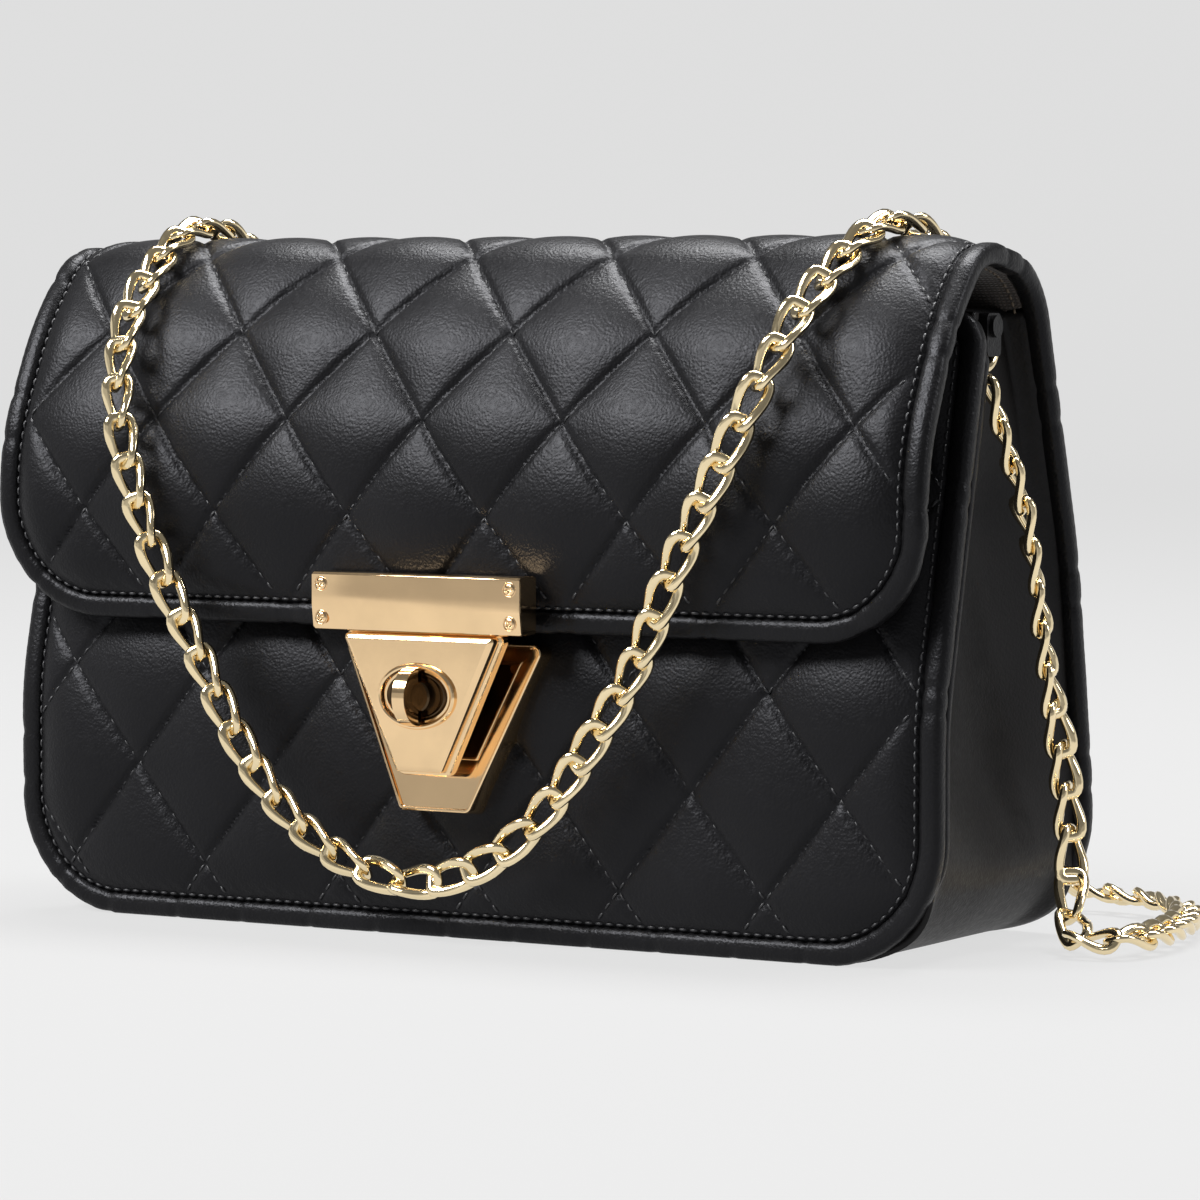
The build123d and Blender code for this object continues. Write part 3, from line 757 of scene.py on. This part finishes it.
def swept(name, path, material, radius, body="bag", sides=10, closed=False):
    """A round cord of leather or metal along a path of points."""
    path = np.asarray(path, float)
    way = unit(np.gradient(path, axis=0))
    guide = np.array([0.0, 0.0, 1.0]) if abs(way[0][2]) < 0.9 else np.array([0.0, 1.0, 0.0])
    ups = []
    for w in way:
        guide = unit(guide - (guide @ w) * w)
        ups.append(guide)
    ups = np.array(ups)
    sides_way = np.cross(way, ups)
    turns = circle(sides)
    radii = np.broadcast_to(radius, len(path))[:, None, None]
    points = path[:, None] + radii * (ups[:, None] * np.cos(turns)[None, :, None]
                                      + sides_way[:, None] * np.sin(turns)[None, :, None])
    faces = grid_faces(len(path), sides, True, True) if closed else tube_faces(len(path), sides)
    return piece(name, points, faces, material, body)


def make_pleat(side):
    """The folded lip of gusset leather that stands just behind the front panel's rolled edge."""
    ring, outs, _ = front_outline.loop(0.7, 0.8)
    keep = (ring[:, 0] * side > HALF - 24) & (ring[:, 1] > 4.5) & (ring[:, 1] < front_outline.high - 4)
    keep &= outs[:, 0] * side > 0.25
    ring, outs = ring[keep], outs[keep]
    order = np.argsort(ring[:, 1])
    ring, outs = ring[order], outs[order]
    reach = along(ring)
    taper = np.minimum(smoothstep(-2, 16, reach), smoothstep(-1.0, 4, reach[-1] - reach))
    turns = circle(PLEAT_SIDES)
    wide = (np.sign(np.cos(turns)) * np.abs(np.cos(turns)) ** 0.8)
    lean = 0.5 * np.sin(turns)[None, :]
    reach_out = 1.9 * wide[None, :] - 2.1 + lean - (1 - taper[:, None]) * 3.0
    deep = 1.75 + 0.15 * unevenness(reach, reach)[:, None]
    up = deep * (np.sign(np.sin(turns)) * np.abs(np.sin(turns)) ** 0.8)[None, :] - EDGE - 2.45
    x = ring[:, None, 0] + outs[:, None, 0] * reach_out
    s = ring[:, None, 1] + outs[:, None, 1] * reach_out
    points = front_wall.at(x, s, np.broadcast_to(up, x.shape))
    return piece("gusset_pleat_" + SIDES[side], points, tube_faces(*x.shape), edge_leather,
                 "bag")


for side in SIDES:
    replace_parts(make_pleat(side), "pleat_" + SIDES[side])


def make_hem(side):
    """The rolled upper hem of the gusset, across the mouth at each end."""
    share = np.linspace(0, 1, 30)
    front, back = between_rolls(HEM_Z)
    y = front + (back - front) * share
    x = side * (GUSSET_LINE[0][0] - 0.7 - valley(share, HEM_Z))
    path = np.stack([x, y, np.full_like(y, HEM_Z + 0.4)], 1)
    return swept("gusset_hem_" + SIDES[side], path, edge_leather, 1.25)


for side in SIDES:
    make_hem(side)


# ---------------------------------------------------------------- lining
CLOTH_THICK = 0.4
LINING_IN = 3.4                          # the flap lining's distance inside the outline


def make_flap_lining():
    rows = np.linspace(LINING_IN, FOLD_S + 26, 180)
    across = np.linspace(-1, 1, 130)
    half = flap_outline.half(rows, LINING_IN)
    half = np.where(rows > FOLD_S - 4, np.minimum(half, 93.0), half)
    x = across[None, :] * half[:, None]
    s = np.repeat(rows[:, None], len(across), 1)
    inset = flap_outline.inset(x, s)
    height = -3.25 + 0.08 * unevenness(x, s + 30) - 0.3 * (1 - np.exp(-(inset - LINING_IN) / 2.0))
    points = flap_wall.at(x, s, height)
    made = piece("flap_lining_cloth", points, grid_faces(*x.shape), lining_cloth,
                 uv=np.stack([x, s], -1), outward=False)
    thicken(made, CLOTH_THICK)
    return made


flap_lining = make_flap_lining()
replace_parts(flap_lining, "flap_lining")
fold_blend(flap_lining)


def lining_edge_thread():
    ring, outs, _ = flap_outline.loop(5.2, 2.0)
    keep = ring[:, 1] < FOLD_S - 2
    ring, outs = ring[keep], outs[keep]
    ways = np.stack([-outs[:, 1], outs[:, 0]], 1)
    height = -3.75
    places = flap_wall.at(ring[:, 0], ring[:, 1], height)
    ahead = flap_wall.at(ring[:, 0] + ways[:, 0], ring[:, 1] + ways[:, 1], height)
    ups = flap_wall.at(ring[:, 0], ring[:, 1], height - 1) - places
    made = stitches("lining_thread", places, ahead - places, ups, 1.3, 0.25, lining_thread)
    return fold_blend(made)


lining_edge_thread()


def make_lining_bag():
    """The sewn inner bag: walls, ends and floor as one soft cloth shell, open at the mouth."""
    mouth = 113.5
    count = 220
    turns = circle(count)
    size = superellipse(turns, 9, 5, 7)
    rings = []
    for z in np.linspace(mouth, 7.0, 70):
        front = front_wall.y_at(z) + 5.0
        back = back_wall.y_at(z) - 5.0
        x_side = np.interp(z, *np.array(GUSSET_LINE[:2])[::-1].T[::-1]) - 2.6
        round_low = smoothstep(0, 18, z - 4.4)
        x_side = x_side - (1 - round_low) * 9
        px = x_side * np.clip(np.cos(turns) * size, -1, 1)
        share = 0.5 + 0.5 * np.clip(np.sin(turns) * size, -1, 1)
        y = front + (back - front) * share
        fold = np.abs(px) / x_side
        px = px - np.sign(px) * valley(share, z) * smoothstep(0.86, 1.0, fold)
        y = y + 0.35 * unevenness(px + 60, z * 1.5 + y)
        rings.append(np.stack([px, y, np.full(count, z)], 1))
    lowest = rings[-1]
    middle = lowest.mean(0)
    for shrink, z in ((0.985, 5.4), (0.95, 4.75), (0.8, 4.6), (0.5, 4.6), (0.2, 4.6)):
        ring = middle + (lowest - middle) * shrink
        ring[:, 2] = z
        rings.append(ring)
    points = np.stack(rings)
    faces = grid_faces(len(rings), count, round_columns=True)
    faces.append([(len(rings) - 1) * count + k for k in range(count)])
    reach = np.repeat(np.arange(len(rings))[:, None] * 1.5, count, 1)
    around = np.repeat(np.linspace(0, 430, count)[None, :], len(rings), 0)
    made = piece("inner_bag_cloth", points, faces, lining_cloth, "bag",
                 uv=np.stack([around, reach], -1), outward=False)
    thicken(made, CLOTH_THICK)
    return made


inner_bag = make_lining_bag()
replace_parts(inner_bag, "lining_front", "lining_back", "lining_right", "lining_left", "lining_bottom")


# ---------------------------------------------------------------- turn lock
def trapezoid_loop(top, bottom, inset, radius, steps=7):
    """A rounded trapezoid (x, z), moved in by an inset, always with the same number of points."""
    corners = np.array([(-top[0], top[1]), (top[0], top[1]), (bottom[0], bottom[1]), (-bottom[0], bottom[1])])
    edges = np.roll(corners, -1, axis=0) - corners
    ways = unit(edges)
    inwards = np.stack([ways[:, 1], -ways[:, 0]], 1)
    radius = max(radius - inset, 0.15)
    loop = []
    for k in range(4):
        before, after = inwards[k - 1], inwards[k]
        mitre = (before + after) / (1 + before @ after)
        centre = corners[k] + mitre * (inset + radius)
        first = math.atan2(-before[1], -before[0])
        last = math.atan2(-after[1], -after[0])
        turn = (last - first + math.pi) % (2 * math.pi) - math.pi
        for angle in first + turn * np.linspace(0, 1, steps):
            loop.append(centre + radius * np.array([math.cos(angle), math.sin(angle)]))
    return np.array(loop)


def stack_loops(name, loops, material, body, hole=None, cap_back=False, cap=True):
    """Metal between nested loops of points; the last is capped, round a hole where there is one."""
    loops = np.array(loops)
    rows, count = loops.shape[:2]
    mesh = bpy.data.meshes.new(name)
    shape = bmesh.new()
    rings = [[shape.verts.new(p * MM) for p in loop] for loop in loops]
    for i in range(rows - 1):
        for j in range(count):
            k = (j + 1) % count
            shape.faces.new([rings[i][j], rings[i][k], rings[i + 1][k], rings[i + 1][j]])
    sides = set(shape.faces)
    if hole is None:
        if cap:
            shape.faces.new(rings[-1])
    else:
        inner = [[shape.verts.new(p * MM) for p in ring] for ring in hole]
        size = len(inner[0])
        edges = [shape.edges.get((rings[-1][j], rings[-1][(j + 1) % count])) for j in range(count)]
        edges += [shape.edges.new((inner[0][j], inner[0][(j + 1) % size])) for j in range(size)]
        bmesh.ops.triangle_fill(shape, use_beauty=True, use_dissolve=False, edges=edges)
        for i in range(len(inner) - 1):
            for j in range(size):
                k = (j + 1) % size
                shape.faces.new([inner[i][j], inner[i][k], inner[i + 1][k], inner[i + 1][j]])
    if cap_back:
        shape.faces.new(rings[0])
    bmesh.ops.recalc_face_normals(shape, faces=shape.faces)
    for face in shape.faces:
        face.smooth = face in sides
    for edge in shape.edges:
        if len(edge.link_faces) == 2:
            edge.smooth = edge.calc_face_angle() < math.radians(CRISP)
    shape.to_mesh(mesh)
    shape.free()
    mesh.materials.append(material)
    made = bpy.data.objects.new(name, mesh)
    bpy.context.scene.collection.objects.link(made)
    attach(made, body)
    return made


CRISP = 24                               # edges sharper than this keep their crease


def on_plate(loop, height):
    """Loop points (x, z) on the base plate's leaning face, raised by a height."""
    z = loop[:, 1]
    y = PLATE_FACE[0] + (z - PLATE_FACE[1]) * PLATE_UP[0] / PLATE_UP[1]
    return np.stack([loop[:, 0], y - PLATE_UP[1] * height, z + PLATE_UP[0] * height], 1)


RECESS_LOW = (10.6, 31.0)                # the recess stops higher than the plate
PLATE_STEPS = [(0.0, -7.5), (0.0, -0.5), (0.12, -0.15), (0.35, 0.0), (0.6, -0.02), (0.75, -0.2),
               (0.8, -0.5), (3.1, -0.62), (3.2, -0.42), (3.45, -0.35), (3.75, -0.4), (3.85, -0.8),
               (3.9, -1.6)]
base_plate = stack_loops(
    "lock_base_frame",
    [on_plate(trapezoid_loop(PLATE_TOP, PLATE_LOW if inset < 3 else RECESS_LOW, inset, 1.6), height)
     for inset, height in PLATE_STEPS],
    lock_gold, "bag", cap=False)
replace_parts(base_plate, "lock_base_plate")
# The recess floor is near-black bronze: painted shade inside the base plate's frame.
stack_loops(
    "lock_base_recess",
    [on_plate(trapezoid_loop(PLATE_TOP, RECESS_LOW, inset, 1.6), height)
     for inset, height in ((3.85, -1.5), (4.4, -1.62), (4.9, -1.62))],
    painted_shade_bronze, "bag")


def flat_loop(loop, y):
    return np.stack([loop[:, 0], np.full(len(loop), y), loop[:, 1]], 1)


def ellipse_loop(half_x, half_z, y, count=48):
    turns = circle(count)
    return np.stack([half_x * np.cos(turns), np.full(count, y), LOCK_Z + half_z * np.sin(turns)], 1)


def slot_loop(half, up, down, y, count=24):
    """A vertical slot with round ends."""
    turns = np.linspace(0, math.pi, count // 2)
    top = np.stack([half * np.cos(turns), LOCK_Z + up - half + half * np.sin(turns)], 1)
    low_end = np.stack([-half * np.cos(turns), LOCK_Z - down + half - half * np.sin(turns)], 1)
    return flat_loop(np.concatenate([top, low_end]), y)


TONGUE_STEPS = [(-0.75, 4.3), (-0.75, 2.7), (-0.6, 2.45), (-0.1, 2.3), (0.0, 2.1), (0.0, 0.85),
                (0.1, 0.55), (0.25, 0.42), (0.95, 0.05), (1.1, 0.0)]
tongue = stack_loops(
    "clasp_tongue_face",
    [flat_loop(trapezoid_loop(TONGUE_TOP, TONGUE_LOW, inset, 0.9), TONGUE_FACE + depth)
     for inset, depth in TONGUE_STEPS],
    lock_gold, "flap",
    hole=[ellipse_loop(6.6, 4.6, TONGUE_FACE + depth) for depth in (0.0, 1.2)])
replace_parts(tongue, "clasp_tongue")

ROSETTE_STEPS = [(8.4, 6.15, 0.0), (8.35, 6.1, -0.5), (8.15, 5.9, -0.8), (7.85, 5.6, -0.9),
                 (7.5, 5.3, -0.8), (7.3, 5.1, -0.45), (7.1, 4.95, 0.0), (6.8, 4.75, 0.25)]
DISH_STEPS = [(6.85, 4.8, 0.2), (6.1, 4.3, 0.38), (5.9, 4.15, 0.2), (5.6, 3.95, 0.15), (5.4, 3.85, 0.4),
              (4.6, 3.8, 0.6)]
rosette = stack_loops(
    "tongue_rosette_rim",
    [ellipse_loop(a, b, TONGUE_FACE + depth) for a, b, depth in ROSETTE_STEPS],
    lock_gold, "flap", cap=False)
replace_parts(rosette, "tongue_rosette")
# The dish is near-black bronze: painted shade round the knob and its slot.
stack_loops(
    "tongue_rosette_dish",
    [ellipse_loop(a, b, TONGUE_FACE + depth) for a, b, depth in DISH_STEPS],
    painted_shade_bronze, "flap",
    hole=[slot_loop(1.75, 3.6, 3.6, TONGUE_FACE + depth) for depth in (0.6, 1.4)])


def make_knob():
    """A half-round grip with softened rims, on a round foot and a stem."""
    turns = np.linspace(-math.pi / 2, math.pi / 2, 33)
    rims = [(0.0, 1.25), (0.0, 1.3), (0.12, 1.3), (0.4, 1.12), (0.5, 0.95)]
    loops = []
    for x_side, steps in ((-1, rims[::-1]), (1, rims)):
        for shrink, half in steps:
            radius = FIN_R - shrink
            arc = np.stack([np.full(33, x_side * half), FIN_BACK - radius * np.cos(turns),
                            LOCK_Z + radius * np.sin(turns)], 1)
            back = np.array([[x_side * half, FIN_BACK + 0.6, LOCK_Z + radius - 0.4],
                             [x_side * half, FIN_BACK + 0.6, LOCK_Z - radius + 0.4]])
            loops.append(np.concatenate([arc, back]))
    made = stack_loops("turn_knob_grip", loops, lock_gold, "knob", cap_back=True)
    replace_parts(made, "turn_knob")
    # Foot and stem in near-black bronze: painted shade under the grip.
    foot = [(3.0, FIN_BACK + 1.9), (3.0, FIN_BACK + 0.75), (2.7, FIN_BACK + 0.45), (2.0, FIN_BACK + 0.4)]
    stem = [(1.95, -34.4), (1.95, FIN_BACK + 1.9)]
    stack_loops("turn_knob_foot", [ellipse_loop(r, r, y, 32) for r, y in stem + foot],
                painted_shade_bronze, "knob", cap_back=True)


make_knob()


def make_bar():
    """The pressed cap over the flap's edge: an upper flat, a lower facet, and softened rims."""
    z0, z1 = BAR_Z
    middle = z0 + 0.40 * (z1 - z0)
    profile = [(BAR_BACK, z1 - 0.1), (BAR_FACE + 0.75, z1), (BAR_FACE + 0.3, z1 - 0.12),
               (BAR_FACE + 0.05, z1 - 0.42), (BAR_FACE, z1 - 0.6), (BAR_FACE, middle + 0.12),
               (BAR_FACE + 0.02, middle - 0.12), (BAR_FACE + 0.5, z0 + 0.55), (BAR_FACE + 0.7, z0 + 0.2),
               (BAR_FACE + 1.1, z0), (BAR_BACK, z0 + 0.1)]
    profile = np.array(profile)
    centre = profile.mean(0)
    loops = []
    ends = [(-BAR_HALF, 0.42), (-BAR_HALF + 0.12, 0.14), (-BAR_HALF + 0.5, 0.0)]
    for x, shrink in ends + [(-x, shrink) for x, shrink in ends[::-1]]:
        pulled = profile.copy()
        pulled[:, 0] = np.where(profile[:, 0] < centre[0], profile[:, 0] + shrink, profile[:, 0])
        pulled[:, 1] = centre[1] + (profile[:, 1] - centre[1]) * (1 - shrink / 5.4)
        loops.append(np.stack([np.full(len(pulled), x), pulled[:, 0], pulled[:, 1]], 1))
    made = stack_loops("clasp_bar_cap", loops, lock_gold, "flap", cap_back=True)
    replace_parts(made, "clasp_bar")
    return middle


BAR_MIDDLE = make_bar()


def make_screw_heads():
    """Small domed heads with a crossed recess, each in a shallow ring."""
    screws = [(x, z, BAR_FACE if z > BAR_MIDDLE else BAR_FACE + 0.12)
              for x in (-SCREW_X, SCREW_X) for z in SCREW_Z]
    size = 21
    u, v = np.meshgrid(np.linspace(-1, 1, size), np.linspace(-1, 1, size), indexing="ij")
    disc_x = u * np.sqrt(1 - v ** 2 / 2)
    disc_z = v * np.sqrt(1 - u ** 2 / 2)
    away = np.hypot(disc_x, disc_z)
    points, faces = [], []
    for n, (x, z, face) in enumerate(screws):
        turn = 0.6 + 0.9 * n
        a = disc_x * math.cos(turn) + disc_z * math.sin(turn)
        b = -disc_x * math.sin(turn) + disc_z * math.cos(turn)
        cross = np.minimum(np.abs(a), np.abs(b))
        dome = 0.42 * np.sqrt(np.maximum(1.02 - away ** 2, 0)) + 0.02
        recess = 0.42 * (1 - smoothstep(0.10, 0.24, cross)) * (1 - smoothstep(0.55, 0.72, away))
        block = np.stack([x + 1.12 * disc_x, face - dome + recess, z + 1.12 * disc_z], -1)
        faces += [[k + n * size * size for k in f] for f in grid_faces(size, size)]
        points.append(block.reshape(-1, 3))
    made = piece("clasp_screw_heads", np.concatenate(points), faces, lock_gold, "flap",
                 outward=False)
    for n, (x, z, face) in enumerate(screws):
        turns = circle(27)
        path = np.stack([x + 1.28 * np.cos(turns), np.full(27, face + 0.02), z + 1.28 * np.sin(turns)], 1)
        swept(f"clasp_screw_seat_{n + 1}", path, lock_gold, 0.13, "flap", 6, closed=True)
    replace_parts(made, "clasp_screws")


make_screw_heads()


# ---------------------------------------------------------------- chain
def spline_points(route):
    """Points down a smooth NURBS line with the route's points as its controls."""
    curve = bpy.data.curves.new("route", "CURVE")
    curve.dimensions = "3D"
    curve.resolution_u = 24
    spline = curve.splines.new("NURBS")
    spline.points.add(len(route) - 1)
    for point, place in zip(spline.points, route):
        point.co = (*[c * MM for c in place], 1.0)
    spline.order_u = 3
    spline.use_endpoint_u = True
    bare = bpy.data.objects.new("route", curve)
    mesh = bpy.data.meshes.new_from_object(bare)
    points = np.array([v.co for v in mesh.vertices], float) / MM
    bpy.data.objects.remove(bare)
    bpy.data.curves.remove(curve)
    bpy.data.meshes.remove(mesh)
    return points


def outward(points):
    """Which way is away from the bag at each point, and up where the chain lies on the floor."""
    core = np.clip(points, [-80, -8, 30], [80, 8, 104])
    away = unit(points - core)
    down = smoothstep(16, 7, points[:, 2])[:, None]
    return away * (1 - down) + np.array([0, 0, 1.0]) * down


def link_shape(along_count=36, round_count=10):
    """One curb link about the origin: an oval of wire along X whose ends twist either way."""
    turns = circle(along_count)
    c, s = np.cos(turns), np.sin(turns)
    size = superellipse(turns, 4.0, 4.0, 4.0)
    long_half, wide_half = (LINK_LONG - WIRE) / 2, (LINK_WIDTH - WIRE) / 2
    x, y = long_half * c * size, wide_half * s * size
    twist = math.radians(30) * np.sin(np.clip(x / long_half, -1, 1) * math.pi / 2)
    centre = np.stack([x, y * np.cos(twist), y * np.sin(twist)], 1)
    way = unit(np.roll(centre, -1, axis=0) - np.roll(centre, 1, axis=0))
    flat = across_way(np.stack([np.zeros_like(x), -np.sin(twist), np.cos(twist)], 1), way)
    side = np.cross(way, flat)
    around = circle(round_count)
    ca, sa = np.cos(around), np.sin(around)
    bulge = superellipse(around, 2.6, 2.6, 2.6)
    rings = centre[:, None] + (WIRE / 2) * (side[:, None] * (ca * bulge)[None, :, None] * 1.12
                                            + flat[:, None] * (sa * bulge)[None, :, None] * 0.86)
    return rings.reshape(-1, 3), grid_faces(along_count, round_count, True, True)


LINK, LINK_FACES = link_shape()


def frames_along(points, step):
    """Places a step apart along a path, with the tangent and the flat way out at each."""
    reach = along(points)
    count = round(reach[-1] / step)
    at = reach[-1] / count * (np.arange(count) + 0.5)
    place = resample(at, reach, points)
    way = unit(resample(at + 2, reach, points) - resample(at - 2, reach, points))
    out = across_way(outward(place), way)
    for i in range(1, len(out)):
        if out[i] @ out[i - 1] < 0:
            out[i] = -out[i]
    settled = SETTLE * smoothstep(112, 128, place[:, 2])[:, None]
    return place - out * settled, way, out


def link_points(place, way, out, roll):
    out = out * math.cos(roll) + np.cross(way, out) * math.sin(roll)
    side = np.cross(out, way)
    return place + LINK[:, :1] * way + LINK[:, 1:2] * side + LINK[:, 2:3] * out


def chain(name, route, body, node_name, turned=0.0):
    """Links along a route; those near its start are turned edge-on by an angle in degrees."""
    points = spline_points(route)
    place, way, out = frames_along(points, PITCH)
    rolls = np.radians(8) * np.sin(np.arange(len(place)) * 1.7) + random.normal(0, 0.05, len(place))
    rolls += math.radians(turned) * (1 - 2.4 * smoothstep(3, 12, np.arange(len(place))))
    rolls *= np.where(place[:, 2] < 9, 0.3, 1.0)
    blocks = [link_points(p, w, o, r) for p, w, o, r in zip(place, way, out, rolls)]
    faces = [[k + n * len(LINK) for k in f] for n in range(len(blocks)) for f in LINK_FACES]
    made = piece(name, np.concatenate(blocks), faces, chain_gold, body, outward=False)
    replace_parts(made, node_name)
    return made, points


def crossing(name, route):
    """The few links over the fold, each a piece of its own, rolled a little more than the one before."""
    points = spline_points(route)
    place, way, out = frames_along(points, PITCH)
    made = []
    for n, (p, w, o) in enumerate(zip(place, way, out)):
        link = piece(f"{name}_{n + 1}", link_points(p, w, o, 0.05 * n), LINK_FACES, chain_gold,
                     outward=False)
        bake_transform(link)
        made.append(link)
    return made


right_chain, right_path = chain("chain_right_links", CHAIN_RIGHT, "bag", "chain_right", -34)
front_chain, front_path = chain("chain_front_links", CHAIN_FRONT, "flap", "chain_front")
left_chain, left_path = chain("chain_left_links", CHAIN_LEFT, "bag", "chain_left", 34)
cross_right = crossing("chain_link_over_fold_right", [
    CHAIN_FRONT[0], (80.9, 15.6, 121.8), (81.1, 19.4, 112.5), CHAIN_RIGHT[-1]])
cross_left = crossing("chain_link_over_fold_left", [
    CHAIN_FRONT[-1], (-72.3, 15.6, 121.8), (-72.2, 19.4, 112.5), CHAIN_LEFT[-1]])


# ---------------------------------------------------------------- CAD pieces that stay
def finish_node(name, material):
    nodes[name].data.materials.clear()
    nodes[name].data.materials.append(material)


# Boards take the near-black painted-shade finish; the metal parts keep their own colours.
for name in nodes:
    if "board" in name:
        finish_node(name, board_painted_shade)
    elif name.startswith("d_ring"):
        finish_node(name, chain_gold)
    elif name.startswith("tab_"):
        finish_node(name, edge_leather)
    elif name in ("lock_washer", "lock_backing_plate", "knob_clip", "clasp_back_plate"):
        finish_node(name, steel)
    elif name in ("lock_bushing", "lock_rivets"):
        finish_node(name, lock_gold)


# ---------------------------------------------------------------- studio
WALL_TOP = 0.7
FLOOR_SIDES = 72
FLOOR_GLOW = 0.69
DIM_SHARE = 0.42                         # of that glow, on the side of the bag where the camera stands
AHEAD = (-0.51, 0.86, 0.0)               # away from the main camera, and to its left
LEFTWARD = (-0.86, -0.51, 0.0)


def make_studio():
    """A dark floor that sweeps up into a low wall all round; its paleness is a painted glow (emission, no
    lamp), brighter ahead of the main camera.
    """
    sweep = np.linspace(0.1, math.pi / 2, 12)
    profile = [(0.5, 0.0), (1.6, 0.0), (2.4, 0.0)]
    profile += [(2.4 + 0.3 * math.sin(t), 0.3 - 0.3 * math.cos(t)) for t in sweep]
    profile += [(2.7, WALL_TOP)]
    turns = circle(FLOOR_SIDES)
    points = [(r * math.cos(t) / MM, r * math.sin(t) / MM, z / MM) for r, z in profile for t in turns]
    faces = grid_faces(len(profile), FLOOR_SIDES, round_columns=True) + [list(range(FLOOR_SIDES))[::-1]]
    material, tree, shader = new_material("glowing_floor")
    shader.inputs["Base Color"].default_value = (0.05, 0.05, 0.05, 1)
    shader.inputs["Roughness"].default_value = 0.9
    shader.inputs["Specular IOR Level"].default_value = 0.0
    shader.inputs["Emission Color"].default_value = (1.0, 1.0, 1.0, 1)
    coords = node(tree, "ShaderNodeTexCoord").outputs["Object"]
    shares = []
    for direction, near, far, most in ((AHEAD, -0.62, -0.36, 1.0), (LEFTWARD, 0.2, 0.6, 0.62)):
        dot = node(tree, "ShaderNodeVectorMath", operation="DOT_PRODUCT")
        dot.inputs[1].default_value = direction
        tree.links.new(coords, dot.inputs[0])
        shares.append(ranged(tree, dot.outputs["Value"], DIM_SHARE, most, near, far))
    glow = node(tree, "ShaderNodeMath", operation="MULTIPLY")
    glow.inputs[1].default_value = FLOOR_GLOW
    tree.links.new(math_node(tree, "MAXIMUM", *shares), glow.inputs[0])
    tree.links.new(glow.outputs["Value"], shader.inputs["Emission Strength"])
    floor = piece("studio_floor", points, faces, material, outward=False)


def lamp(name, place, aim, size, power, colour=(1, 1, 1)):
    data = bpy.data.lights.new(name, "AREA")
    data.shape = "RECTANGLE"
    data.size, data.size_y = size
    data.energy = power
    data.color = colour
    made = bpy.data.objects.new(name, data)
    made.location = place
    made.rotation_euler = (Vector(aim) - Vector(place)).to_track_quat("-Z", "Y").to_euler()
    bpy.context.scene.collection.objects.link(made)


make_studio()
# name, place, aim, size and power in watts
lamp("top_softbox", (0.0, 0.35, 1.4), (0, 0, 0.1), (1.3, 0.5), 50)
lamp("key_softbox", (-0.75, -1.15, 1.25), (0, 0, 0.08), (1.2, 0.6), 54)
lamp("right_softbox", (1.4, 0.5, 0.9), (0.08, 0, 0.07), (0.5, 0.7), 9)
world = bpy.data.worlds.new("studio")
world.use_nodes = True
world.node_tree.nodes["Background"].inputs["Color"].default_value = (1, 1, 1, 1)
world.node_tree.nodes["Background"].inputs["Strength"].default_value = 0.18
scene = bpy.context.scene
scene.world = world
scene.view_settings.view_transform = "Standard"

camera_data = bpy.data.cameras.new("camera")
camera_data.lens = 156
camera_data.sensor_width = 36
camera = bpy.data.objects.new("camera", camera_data)
camera.location = (0.51227, -0.84463, 0.11876)
camera.rotation_euler = (math.radians(86.672), 0, math.radians(30.657))
scene.collection.objects.link(camera)
scene.camera = camera

bpy.context.view_layer.update()
